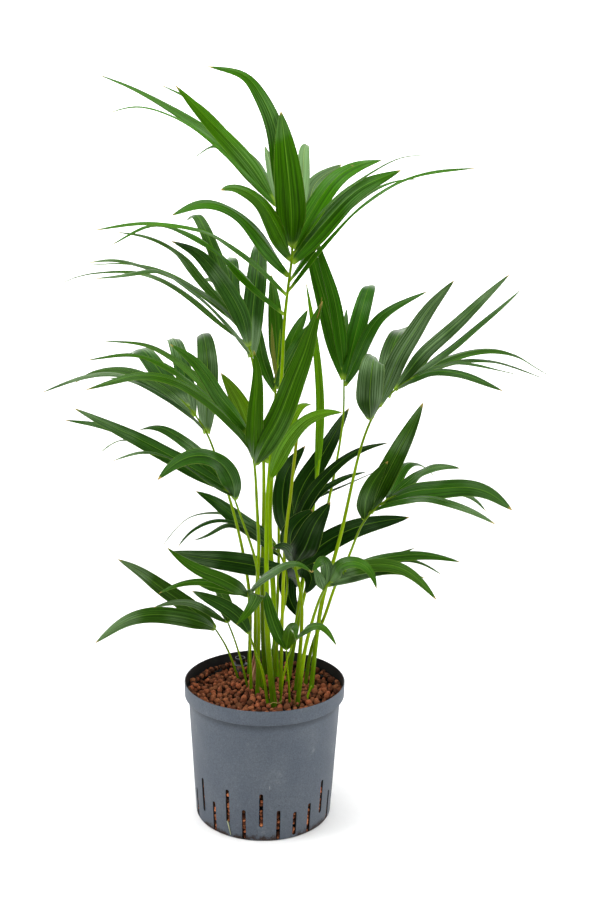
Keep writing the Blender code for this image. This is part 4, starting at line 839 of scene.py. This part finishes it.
def black_plastic_finish():
    """The gauge's cap: black, with painted highlights along the edges of its lip and flange."""
    finish = Finish("black_plastic", Specular_IOR_Level=0.4)
    where = finish.coordinates("Object")
    x, y, height = finish.parts(where)
    scuffs = finish.noise(where, 400.0, 3.0, 0.7)
    away = ((x - GAUGE_AT.x) ** 2.0 + (y - GAUGE_AT.y) ** 2.0) ** 0.5
    lip = finish.step(height, CAP_TOP - 0.0007, CAP_TOP - 0.0002)
    flange = finish.step(away, FLANGE_RADIUS - 0.0008, FLANGE_RADIUS - 0.0003)
    # Pale painted highlight on the lip and flange edges, broken up by the scuff noise.
    painted_rim_highlight = finish.maths("MAXIMUM", lip, flange) * finish.step(scuffs, 0.36, 0.58)
    finish.colour(finish.mix(painted_rim_highlight, (0.004, 0.004, 0.005), (0.140, 0.140, 0.155)))
    finish.roughness(0.28 + 0.20 * scuffs)
    return finish.material


def red_plastic_finish():
    """The red float rod, with moulding marks round it."""
    finish = Finish("red_plastic", Specular_IOR_Level=0.5)
    where = finish.coordinates("Object")
    height = finish.parts(where)[2]
    rings = finish.noise(finish.vector(0.0, 0.0, height * 900.0), 1.0, 2.0)
    finish.colour(finish.shade((0.60, 0.035, 0.025), 0.8 + 0.3 * rings))
    finish.roughness(0.3 + 0.2 * rings)
    return finish.material


def papery_finish():
    """Dead sheath: thin, dry and fibrous, pinkish brown."""
    finish = Finish("dry_sheath", Specular_IOR_Level=0.2)
    around, along, _ = finish.parts(finish.coordinates("UV"))
    fibres = finish.noise(finish.vector(around * 34.0, along * 3.0, 0.0), 1.0, 3.0, 0.7)
    colour = finish.mix(finish.step(fibres, 0.35, 0.7), (0.300, 0.110, 0.050), (0.700, 0.420, 0.270))
    finish.colour(colour)
    finish.roughness(0.75 + 0.2 * fibres)
    finish.relief(fibres, 0.0005, 0.9)
    return finish.material


leaf_upper = leaf_upper_finish()
leaf_under = leaf_under_finish()
palm_stalk = stalk_finish()
baked_clay = clay_finish()
painted_shade_clay = deep_clay_finish()
pot_outside = pot_outside_finish()
pot_inside = pot_inside_finish()
clear_plastic = clear_plastic_finish()
black_plastic = black_plastic_finish()
red_plastic = red_plastic_finish()
dry_sheath = papery_finish()


# ---------------------------------------------------------------- fronds


def place(point):
    """World place of a board point (x, z, steps), on its line from the eye point."""
    x, z, steps = point
    y = steps * DEPTH_STEP
    reach = 1 + y / EYE_DISTANCE
    return Vector((EYE_X + (x - EYE_X) * reach, y, EYE_Z + (z - EYE_Z) * reach)) * CENTIMETRE


def smooth_path(points, step):
    """A smooth curve through the points, with a point about every step."""
    path = [points[0]]
    ends = [2 * points[0] - points[1], *points, 2 * points[-1] - points[-2]]
    for before, start, end, after in zip(ends, ends[1:], ends[2:], ends[3:]):
        pieces = max(1, round((end - start).length / step))
        for piece in range(1, pieces + 1):
            t = piece / pieces
            path.append(
                0.5 * (2 * start + (end - before) * t
                       + (2 * before - 5 * start + 4 * end - after) * t ** 2
                       + (3 * start - before - 3 * end + after) * t ** 3))
    return path


def evenly(path, count):
    """Count points at even distances along a path."""
    lengths = [0.0]
    for start, end in zip(path, path[1:]):
        lengths.append(lengths[-1] + (end - start).length)
    points = []
    index = 0
    for number in range(count):
        target = lengths[-1] * number / (count - 1)
        while index < len(path) - 2 and lengths[index + 1] < target:
            index += 1
        span = lengths[index + 1] - lengths[index]
        points.append(path[index].lerp(path[index + 1], (target - lengths[index]) / span))
    return points


def relaxed(path, passes):
    """Take small kinks out of a path without moving its ends."""
    for _ in range(passes):
        inner = [(a + 2 * b + c) / 4 for a, b, c in zip(path, path[1:], path[2:])]
        path = [path[0], *inner, path[-1]]
    return path


def tangents(path):
    """Directions along a path."""
    last = len(path) - 1
    return [(path[min(i + 1, last)] - path[max(i - 1, 0)]).normalized() for i in range(last + 1)]


def board_height(point):
    """Height on the board at which a point of the model is seen."""
    return EYE_Z + (point.z / CENTIMETRE - EYE_Z) / (1 + point.y / CENTIMETRE / EYE_DISTANCE)


def point_at_height(path, height):
    """The first point of a path at a height on the board, or just before the path's end."""
    for start, end in zip(path, path[1:]):
        low, high = board_height(start), board_height(end)
        if low <= height <= high:
            return start.lerp(end, (height - low) / (high - low))
    return path[-2].lerp(path[-1], 0.9)


def blade_width(u):
    """Width of a leaflet at a fraction of its length, as a share of its widest."""
    opening = 0.30 + 0.70 * math.sin(math.pi / 2 * min(1, u / 0.30))
    return opening * max(0.0, 1 - u ** 3.0) ** 0.85 + 0.012


def make_blade(name, leaflet, start, green, painted_sheen, dryness):
    """One leaflet: folded along its midrib, pleated, a little wavy, and pointed."""
    path = smooth_path([start, *(place(point) for point in leaflet.points)], 0.01)
    length = sum((b - a).length for a, b in zip(path, path[1:]))
    rows = 14 + round(length / LEAF_STEP)
    spine = relaxed(evenly(path, rows + 1), 6)
    along_spine = tangents(spine)
    facing = leaflet.face if isinstance(leaflet.face, tuple) else (leaflet.face, leaflet.face)
    half_width = leaflet.width / 2 * CENTIMETRE * BLADE_FULLNESS
    twist = chance.uniform(-0.22, 0.22)
    wave, wave_phase = chance.uniform(1.2, 2.4), chance.uniform(0, math.tau)
    pleats, pleat_phase = chance.choice((3, 4)), chance.uniform(-0.4, 0.4)
    fold = chance.uniform(0.16, 0.26)

    def place_of(across, along):
        row = round(along * rows)
        point, forward = spine[row], along_spine[row]
        turn = math.radians(facing[0] + (facing[1] - facing[0]) * along)
        face = Vector((0, -math.cos(turn), math.sin(turn)))
        up = (face - forward * face.dot(forward)).normalized()
        up.rotate(Matrix.Rotation(twist * along, 3, forward))
        side = forward.cross(up)
        width = half_width * blade_width(along)
        s = 2 * across - 1
        drop = (fold + 0.55 * (1 - along) ** 5) * abs(s) ** 1.1
        pleat = 0.035 * math.cos(math.tau * pleats * s + pleat_phase) * math.sin(math.pi * along) ** 0.5
        waving = 0.07 * s * math.sin(math.tau * wave * along + wave_phase) * along
        narrow = 1 - 0.10 * fold - 0.16 * (1 - along) ** 5
        lift = 0.35 * fold - drop + pleat + waving
        return point + side * (s * width * narrow) + up * (width * lift)

    blade = rolled_grid(name, BLADE_COLUMNS, rows, place_of)
    tone = chance.uniform(0.84, 1.20)
    yellowing = chance.uniform(-0.10, 0.16)
    colour = Vector((green[0] * (1 + yellowing), green[1], green[2] * (1 - yellowing))) * tone
    number = chance.random()
    paint(blade, "leaf_colour", lambda vertex: colour)
    # The second number is the leaflet's share of painted grey sheen.
    paint(blade, "leaf_number", lambda vertex: (number, painted_sheen, dryness))
    return blade


def make_stalk(name, frond, green):
    """The stalk: a half-open sheath at its foot, round above, tapering to its end."""
    foot = Vector((frond.foot[0], frond.foot[1], 0)) * CENTIMETRE
    bottom = foot + Vector((0, 0, GRANULE_TOP - ROOT_DEPTH))
    path = smooth_path([bottom, *(place(point) for point in frond.stalk)], 0.01)
    length = sum((b - a).length for a, b in zip(path, path[1:]))
    rows = 12 + round(length / LEAF_STEP)
    spine = relaxed(evenly(path, rows + 1), 4)
    forward = tangents(spine)
    thick, thin = (value / 2 * CENTIMETRE for value in frond.thickness)
    spin = chance.uniform(-0.6, 0.6)

    def place_of(across, along):
        row = round(along * rows)
        angle = math.tau * across
        side = forward[row].cross(Vector((0, 1, 0))).normalized()
        other = forward[row].cross(side)
        rise = along * length
        radius = thick + (thin - thick) * along ** 1.5
        sheath = math.exp(-rise / 0.030)
        off_groove = math.remainder(angle - spin + 1.57, math.tau)
        groove = 1 - (0.10 + 0.16 * sheath) * math.exp(-(off_groove / 0.55) ** 2)
        flat = 1 + 0.12 * sheath
        end = 0.35 if row == rows else 1.0
        return spine[row] + radius * groove * end * (
            side * (math.cos(angle) * flat) + other * (math.sin(angle) / flat ** 0.5))

    stalk = rolled_grid(name, STALK_SIDES, rows, place_of, closed=True)
    height_end = max(spine[-1].z, 0.25)
    tone = STALK_TONES.get(name.removesuffix("_stalk"), STALK_TONE) * chance.uniform(0.85, 1.15)
    own = Vector(green)

    def colour_of(vertex):
        rise = (vertex.co.z - GRANULE_TOP) / (height_end - GRANULE_TOP)
        bright = STALK_FOOT.lerp(STALK_GREEN, min(1, max(0, rise * 3)))
        shade = tone + (1.0 - tone) * min(1, max(0, 3.0 * rise - 0.6))
        return bright.lerp(own * 1.5, 0.15 + 0.5 * min(1, max(0, rise)) ** 2) * shade

    paint(stalk, "leaf_colour", colour_of)
    paint(stalk, "leaf_number", lambda vertex: (0.5, 0.5, 0.5))
    return stalk, spine


def make_frond(name, frond):
    """A frond: every leaflet with an upper and an under side, and its stalk."""
    *green, painted_sheen = FROND_GREENS[name]
    stalk, path = make_stalk(f"{name}_stalk", frond, green)
    stalk.data.materials.append(palm_stalk)
    smooth_shading(stalk, 60)
    pieces = [stalk]
    if frond.leaflets:
        blades = []
        for number, leaflet in enumerate(frond.leaflets):
            start = point_at_height(path, leaflet.height)
            dryness = 1.0 if (name, leaflet.height) in DRY_LEAFLETS else 0.0
            blades.append(make_blade(f"{name}_leaflet_{number}", leaflet, start, green, painted_sheen, dryness))
        leaves = join(blades, f"{name}_leaves")
        leaves.data.materials.append(leaf_upper)
        leaves.data.materials.append(leaf_under)
        thicken = leaves.modifiers.new("thickness", "SOLIDIFY")
        thicken.thickness = BLADE_THICKNESS
        thicken.offset = 0
        thicken.material_offset = 1
        thicken.material_offset_rim = 0
        apply_modifiers(leaves)
        smooth_shading(leaves, 60)
        pieces.insert(0, leaves)
    return part_of_object(join(pieces, name + "_grown"), "palm_green", name)


# ---------------------------------------------------------------- pot and filling


def wall_radius(height):
    """Outer radius of the tapered wall below the band."""
    top = POT_HEIGHT - BAND_HEIGHT
    return BASE_RADIUS + (RIM_RADIUS - BAND_STEP - BASE_RADIUS) * height / top


def arc(centre, radius, start, end, steps):
    """Points of an arc, in degrees from the outward direction."""
    angles = [math.radians(start + (end - start) * step / steps) for step in range(steps + 1)]
    return [(centre[0] + radius * math.cos(a), centre[1] + radius * math.sin(a)) for a in angles]


def slot_bounds(index):
    """Lowest and highest point of a root slot."""
    if index == SHORT_SLOT_INDEX:
        return SHORT_SLOT
    return LOW_SLOT if index % 2 else HIGH_SLOT


def make_slot_cutter(index):
    """A round bar through the wall, its upper half raised to make a slot."""
    low, high = slot_bounds(index)
    radius = SLOT_WIDTH / 2
    deselect_all()
    bpy.ops.mesh.primitive_cylinder_add(
        vertices=16, radius=radius, depth=0.03, location=(0, -BASE_RADIUS, low + radius),
        rotation=(math.pi / 2, 0, 0))
    cutter = bpy.context.active_object
    bpy.ops.object.transform_apply(location=True, rotation=True, scale=True)
    for vertex in cutter.data.vertices:
        if vertex.co.z > low + radius + 1e-5:
            vertex.co.z += high - low - SLOT_WIDTH
    cutter.rotation_euler.z = index * math.tau / SLOT_COUNT
    pick(cutter)
    bpy.ops.object.transform_apply(location=True, rotation=True, scale=True)
    return cutter


def make_pot():
    """The slotted pot: black inside, blue-grey outside, with its stepped band."""
    band_foot = POT_HEIGHT - BAND_HEIGHT
    step_foot = band_foot - 0.002
    inside = [
        (0, WALL), (wall_radius(WALL) - 3 * WALL, WALL), (wall_radius(0.006) - WALL, 0.005),
        (wall_radius(0.05) - WALL, 0.05), (wall_radius(0.11) - WALL, 0.11),
        (wall_radius(step_foot) - WALL, step_foot), (RIM_RADIUS - WALL - 0.0014, band_foot + 0.0005),
        (RIM_RADIUS - WALL - 0.0004, band_foot + 0.002), (RIM_RADIUS - WALL, POT_HEIGHT - 0.001),
    ]
    lip = arc((RIM_RADIUS - WALL / 2, POT_HEIGHT - WALL / 2), WALL / 2, 180, 0, 8)
    outside = [
        (RIM_RADIUS - 0.0002, band_foot + 0.010),
        *arc((RIM_RADIUS - 0.0016, band_foot + 0.0014), 0.0013, 0, -80, 5),
        (wall_radius(step_foot) + 0.0012, step_foot + 0.0012),
        (wall_radius(step_foot) + 0.0003, step_foot + 0.0003),
        (wall_radius(step_foot - 0.001), step_foot - 0.001),
        (wall_radius(0.11), 0.11), (wall_radius(0.05), 0.05),
    ]
    corner = arc((BASE_RADIUS - 0.0025, 0.0025), 0.0025, 0, -90, 6)
    profile = inside + lip + outside + corner + [(0, 0)]
    pot = turned("slotted_pot", profile, SLOT_COUNT * 8)
    for layer in (pot_outside, pot_inside):
        pot.data.materials.append(layer)
    for face in pot.data.polygons:
        outward = Vector((face.center.x, face.center.y, 0)).dot(face.normal)
        face.material_index = 1 if outward < 0 or (face.normal.z > 0.9 and face.center.z < 0.01) else 0
    cutters = join([make_slot_cutter(index) for index in range(SLOT_COUNT)], "slot_cutters")
    for layer in (pot_outside, pot_inside):
        cutters.data.materials.append(layer)
    for face in cutters.data.polygons:
        face.material_index = 1
    cut = pot.modifiers.new("slots", "BOOLEAN")
    cut.operation = "DIFFERENCE"
    cut.solver = "EXACT"
    cut.object = cutters
    apply_modifiers(pot)
    bpy.data.objects.remove(cutters)
    smooth_shading(pot, 32)
    return part_of_object(pot, "pot_plastic", "culture_pot")


def make_granule_shapes():
    """A few lumps of different shapes, each about 1 across, for copying."""
    shapes = []
    for number in range(7):
        deselect_all()
        bpy.ops.mesh.primitive_ico_sphere_add(subdivisions=2, radius=0.5)
        lump = bpy.context.active_object
        squash = Vector((
            chance.uniform(0.84, 1.20), chance.uniform(0.84, 1.12), chance.uniform(0.72, 1.0)))
        for vertex in lump.data.vertices:
            dent = noise.noise(vertex.co * 2.6 + Vector((9.7 * number, 0, 0))) * 0.30
            vertex.co *= 1 + dent
            vertex.co *= squash
        shapes.append(lump)
    return shapes


def make_granule(shapes, at, size, painted_light_level=1.0):
    """One granule: a copy of a lump, turned at random, in its own shade of clay, times a level of
    painted light and shade.
    """
    granule = chance.choice(shapes).copy()
    granule.data = granule.data.copy()
    bpy.context.scene.collection.objects.link(granule)
    angle = chance.uniform(0, math.tau)
    axis = Vector((chance.random(), chance.random(), chance.random() + 0.1))
    turn = Matrix.Rotation(angle, 4, axis)
    granule.data.transform(Matrix.Translation(at) @ turn @ Matrix.Diagonal((size, size, size, 1)))
    shade = chance.uniform(0.40, 1.40)
    pink = chance.uniform(0.88, 1.12)
    red, green, blue = CLAY_COLOUR
    colour = Vector((red * shade, green * shade * pink, blue * shade * pink)) * painted_light_level
    paint(granule, "granule_colour", lambda vertex: colour)
    return granule


def scattered(count, reach, spacing, kept_clear):
    """Random places in a disc that keep a spacing from each other and clear of the stalks."""
    places = []
    for _ in range(count):
        angle, radius = chance.uniform(0, math.tau), reach * math.sqrt(chance.random())
        spot = Vector((radius * math.cos(angle), radius * math.sin(angle)))
        size = chance.uniform(0.66, 1.34)
        if any((spot - foot).length < room for foot, room in kept_clear):
            continue
        if any((spot - other).length < spacing * (size + taken) / 2 for other, taken in places):
            continue
        places.append((spot, size))
    return places


def make_granules():
    """Loose granules on top of the bed and behind the slots, over a bed painted dark as shade."""
    shapes = make_granule_shapes()
    stalks = [(Vector(frond.foot) * CENTIMETRE, frond.thickness[0] / 2 * CENTIMETRE + 0.0018)
              for frond in FRONDS.values()]
    stalks.append((GAUGE_AT.xy, FLANGE_RADIUS))
    reach = RIM_RADIUS - WALL - 0.0040
    granules = []
    below_ledge = wall_radius(0.166) - WALL - 0.0046
    for level, spacing, count in ((0.1650, 0.0064, 4200), (0.1698, 0.0068, 4200)):
        for spot, size in scattered(count, reach, spacing, stalks):
            heap = 0.0016 * noise.noise(Vector((*spot, level)) * 28) + chance.uniform(-0.0014, 0.0014)
            height = level + heap
            if spot.length > below_ledge:
                height = max(height, 0.1752) if level > 0.166 else 0.1752
            # The lower layer is painted darker, as painted shade from the layer above.
            painted_light_level = 1.0 if level > 0.166 else 0.30
            at = Vector((*spot, height))
            granules.append(make_granule(shapes, at, GRANULE_SIZE * size, painted_light_level))
    top = join(granules, "clay_granules_top")
    behind = []
    height = 0.0045
    while height < HIGH_SLOT[1] + 0.002:
        radius = wall_radius(height) - WALL
        count = round(math.tau * radius / 0.0066)
        offset = chance.uniform(0, math.tau)
        for number in range(count):
            size = chance.uniform(0.0056, 0.0082)
            if chance.random() < (0.10 if height < 0.058 else 0.45):
                continue
            angle = offset + (number + chance.uniform(-0.2, 0.2)) * math.tau / count
            away = radius - size * 0.5 + chance.uniform(-0.0004, 0.0009)
            up = height + chance.uniform(-0.0012, 0.0012)
            at = Vector((away * math.cos(angle), away * math.sin(angle), up))
            # The ring behind the wall is painted dark, as painted shade.
            behind.append(make_granule(shapes, at, size, 0.35))
        height += 0.0060
    for index in range(SLOT_COUNT):
        low, high = slot_bounds(index)
        height = low + 0.0020
        while height < high - 0.0010:
            size = chance.uniform(0.0036, 0.0058)
            turn = index * math.tau / SLOT_COUNT + chance.uniform(-0.010, 0.010)
            away = wall_radius(height) - size / 2 - chance.uniform(0.0002, 0.0020)
            if chance.random() < (0.70 if height < high - 0.0100 else 0.22):
                at = Vector((away * math.sin(turn), -away * math.cos(turn), height))
                # Granules in the slots are painted up to 2.4 times brighter, as painted light.
                behind.append(make_granule(shapes, at, size, chance.uniform(1.0, 2.4)))
            height += size * 0.95
    lower = join(behind, "clay_granules_low")
    for lump in shapes:
        bpy.data.objects.remove(lump)
    clear = WALL + 0.0072
    bed = turned("clay_bed", [
        (0, WALL + 0.0004), (wall_radius(0) - clear - 0.001, WALL + 0.0004),
        (wall_radius(0.01) - clear, 0.004), (wall_radius(0.15) - clear, BED_TOP - 0.002),
        (wall_radius(0.15) - clear - 0.002, BED_TOP), (0, BED_TOP)], 96)
    bed.data.materials.append(painted_shade_clay)
    smooth_shading(bed, 40)
    for layer in (top, lower):
        layer.data.materials.append(baked_clay)
        smooth_shading(layer, 180)
        part_of_object(layer, "baked_clay", "clay_granules")
    part_of_object(bed, "baked_clay", "clay_granules")


def make_gauge():
    """The water gauge: a clear tube with a black flanged cap, and the red float rod inside."""
    bore = GAUGE_RADIUS - GAUGE_WALL
    tube = turned("water_gauge_tube", [
        (bore, GAUGE_FOOT), (GAUGE_RADIUS, GAUGE_FOOT), (GAUGE_RADIUS, 0.09), (GAUGE_RADIUS, GAUGE_TOP),
        (bore, GAUGE_TOP), (bore, 0.09), (bore, GAUGE_FOOT)], 40, GAUGE_AT)
    seat = GAUGE_TOP + 0.0003
    flange_top = seat + 0.0014
    inner = CAP_RADIUS - GAUGE_WALL
    cap = turned("water_gauge_cap", [
        (0, seat), (FLANGE_RADIUS - 0.0004, seat),
        *arc((FLANGE_RADIUS - 0.0006, seat + 0.0007), 0.0006, -60, 60, 4),
        (CAP_RADIUS + 0.0006, flange_top), (CAP_RADIUS, flange_top + 0.0006),
        *arc((CAP_RADIUS - GAUGE_WALL / 2, CAP_TOP - GAUGE_WALL / 2), GAUGE_WALL / 2, 0, 180, 6),
        (inner, flange_top + 0.0005), (inner - 0.0005, flange_top), (0, flange_top)], 48, GAUGE_AT)
    rod = turned("water_gauge_rod", [
        (0, 0.0043), (0.0012, 0.0043), (0.0016, 0.0049), (0.0016, 0.09), (0.0016, GAUGE_TOP - 0.0126),
        (0.0012, GAUGE_TOP - 0.012), (0, GAUGE_TOP - 0.012)], 24, GAUGE_AT)
    for piece, material, slot, node in (
            (tube, clear_plastic, "clear_plastic", "gauge_tube"),
            (cap, black_plastic, "black_plastic", "gauge_cap"),
            (rod, red_plastic, "red_plastic", "gauge_float")):
        piece.data.materials.append(material)
        smooth_shading(piece, 40)
        part_of_object(piece, slot, node)


def make_dry_sheath():
    """The torn papery sheath of an old leaf, half round one of the stalks."""
    middle = Vector((-0.0190, 0.0440, 0))
    height = 0.052

    def place_of(across, along):
        angle = math.radians(200 + 150 * across) + 0.5 * along
        ragged = 1 - 0.38 * abs(math.sin(across * 7.0)) * (0.6 + 0.4 * math.sin(across * 23))
        rise = along * height * ragged
        radius = 0.0062 * (1 - 0.45 * along) + 0.0016 * math.sin(across * 19) * along
        lean = Vector((0.10, -0.03, 1)) * rise
        foot = Vector((radius * math.cos(angle), radius * math.sin(angle), GRANULE_TOP - ROOT_DEPTH))
        return middle + foot + lean

    sheath = rolled_grid("dry_sheath", 22, 14, place_of)
    sheath.data.materials.append(dry_sheath)
    thicken = sheath.modifiers.new("thickness", "SOLIDIFY")
    thicken.thickness = 0.0004
    apply_modifiers(sheath)
    smooth_shading(sheath, 60)
    return part_of_object(sheath, "palm_green")


def make_twig(name, points, radius, colour):
    """A thin strand or stub through a few points, tapering a little."""
    rows = 16
    path = evenly(smooth_path([Vector(point) for point in points], 0.002), rows + 1)
    forward = tangents(path)

    def place_of(across, along):
        row = round(along * rows)
        side = forward[row].cross(Vector((0.3, 1, 0.2))).normalized()
        angle = math.tau * across
        reach = radius * (1 - 0.45 * along)
        return path[row] + reach * (side * math.cos(angle) + forward[row].cross(side) * math.sin(angle))

    twig = rolled_grid(name, 8, rows, place_of, closed=True)
    paint(twig, "leaf_colour", lambda vertex: colour)
    paint(twig, "leaf_number", lambda vertex: (0.5, 0.0, 0.0))
    twig.data.materials.append(palm_stalk)
    smooth_shading(twig, 60)
    return part_of_object(twig, "palm_green")


def make_twigs():
    """Stubs of old stalks in the granules, loose fibres, and a root tip hanging out of a slot."""
    straw, brown = Vector((0.420, 0.300, 0.110)), Vector((0.260, 0.120, 0.040))
    make_twig(
        "cut_green_stub", [(0.058, -0.017, 0.166), (0.0605, -0.0175, 0.178), (0.0640, -0.018, 0.188)],
        0.0019, Vector((0.200, 0.360, 0.004)))
    make_twig(
        "dead_stub", [(0.042, -0.034, 0.167), (0.0415, -0.035, 0.174), (0.043, -0.036, 0.181)],
        0.0015, brown)
    make_twig(
        "foot_fibre", [(0.008, -0.0475, 0.173), (0.013, -0.0485, 0.1765), (0.020, -0.0480, 0.1755),
                       (0.025, -0.0470, 0.1790)], 0.0006, straw)
    make_twig(
        "tip_filament", [place((6.2, 68.4, -9)), place((6.6, 69.8, -9.1)), place((6.8, 71.2, -9.2))],
        0.0006, Vector((0.140, 0.080, 0.020)))
    root = []
    for x, z in ((-0.0450, 0.0235), (-0.0432, 0.0170), (-0.0415, 0.0090), (-0.0405, 0.0045)):
        reach = wall_radius(z) + 0.0009
        root.append((x, -math.sqrt(reach ** 2 - x ** 2), z))
    make_twig("root_tip", root, 0.0009, Vector((0.400, 0.420, 0.260)))


# ---------------------------------------------------------------- the setting


def make_paper():
    """A pale paper floor that curves up behind. Its far part glows a little, to hide its edge."""
    def place_of(across, along):
        reach = FLOOR_LENGTH * along - FLOOR_FRONT
        bend = max(0.0, reach - FLOOR_FLAT)
        return Vector(((across - 0.5) * FLOOR_WIDTH, reach, 0.55 * bend ** 2))

    floor = rolled_grid("floor", 4, 104, place_of)
    paper = Finish("floor_paper", Specular_IOR_Level=0.1)
    grain = paper.noise(paper.coordinates("Object"), 40.0, 2.0)
    paper.colour(paper.mix(grain, (0.86, 0.86, 0.86), (0.90, 0.90, 0.90)))
    paper.roughness(0.9 + 0.05 * grain)
    x, y, _ = paper.parts(paper.coordinates("Object"))
    glow = paper.step((x ** 2.0 + y ** 2.0) ** 0.5, 1.2, 3.0)
    paper.feed(
        paper.shader.inputs["Emission Color"], paper.mix(glow, (0.0, 0.0, 0.0), (0.72, 0.72, 0.72)))
    paper.feed(paper.shader.inputs["Emission Strength"], 1.0)
    floor.data.materials.append(paper.material)
    smooth_shading(floor, 180)


def make_light():
    """Soft light from above and both sides, in surroundings that look plain white."""
    bpy.context.scene.view_settings.view_transform = "Standard"
    world = bpy.data.worlds.new("soft_daylight")
    bpy.context.scene.world = world
    world.use_nodes = True
    tree = world.node_tree
    ambient = tree.nodes["Background"]
    white = tree.nodes.new("ShaderNodeBackground")
    for background, strength in ((ambient, 0.36), (white, 1.0)):
        background.inputs["Color"].default_value = (1.0, 1.0, 1.0, 1.0)
        background.inputs["Strength"].default_value = strength
    seen = tree.nodes.new("ShaderNodeMixShader")
    tree.links.new(tree.nodes.new("ShaderNodeLightPath").outputs["Is Camera Ray"], seen.inputs[0])
    tree.links.new(ambient.outputs[0], seen.inputs[1])
    tree.links.new(white.outputs[0], seen.inputs[2])
    tree.links.new(seen.outputs[0], tree.nodes["World Output"].inputs["Surface"])
    for name, at, size, power, towards in LAMPS:
        bpy.ops.object.light_add(type="AREA", location=at)
        lamp = bpy.context.active_object
        lamp.name = name
        lamp.data.shape = "SQUARE"
        lamp.data.size = size
        lamp.data.energy = power
        lamp.rotation_euler = (Vector(towards) - Vector(at)).to_track_quat("-Z", "Y").to_euler()


def make_camera():
    """The camera, in front and a little above, looking slightly down."""
    forward = Vector((0, math.cos(CAMERA_TILT), -math.sin(CAMERA_TILT)))
    level = Vector((1, 0, 0))
    upright = level.cross(forward)
    right = level * math.cos(CAMERA_ROLL) + upright * math.sin(CAMERA_ROLL)
    upward = upright * math.cos(CAMERA_ROLL) - level * math.sin(CAMERA_ROLL)
    bpy.ops.object.camera_add()
    camera = bpy.context.active_object
    camera.matrix_world = Matrix.Translation(CAMERA_AT) @ Matrix(
        (right, upward, -forward)).transposed().to_4x4()
    camera.data.lens = CAMERA_LENS
    camera.data.sensor_width = 36
    bpy.context.scene.camera = camera


make_pot()
make_granules()
make_gauge()
for frond_name, frond_shape in FRONDS.items():
    make_frond(frond_name, frond_shape)
make_dry_sheath()
make_twigs()
make_paper()
make_light()
make_camera()
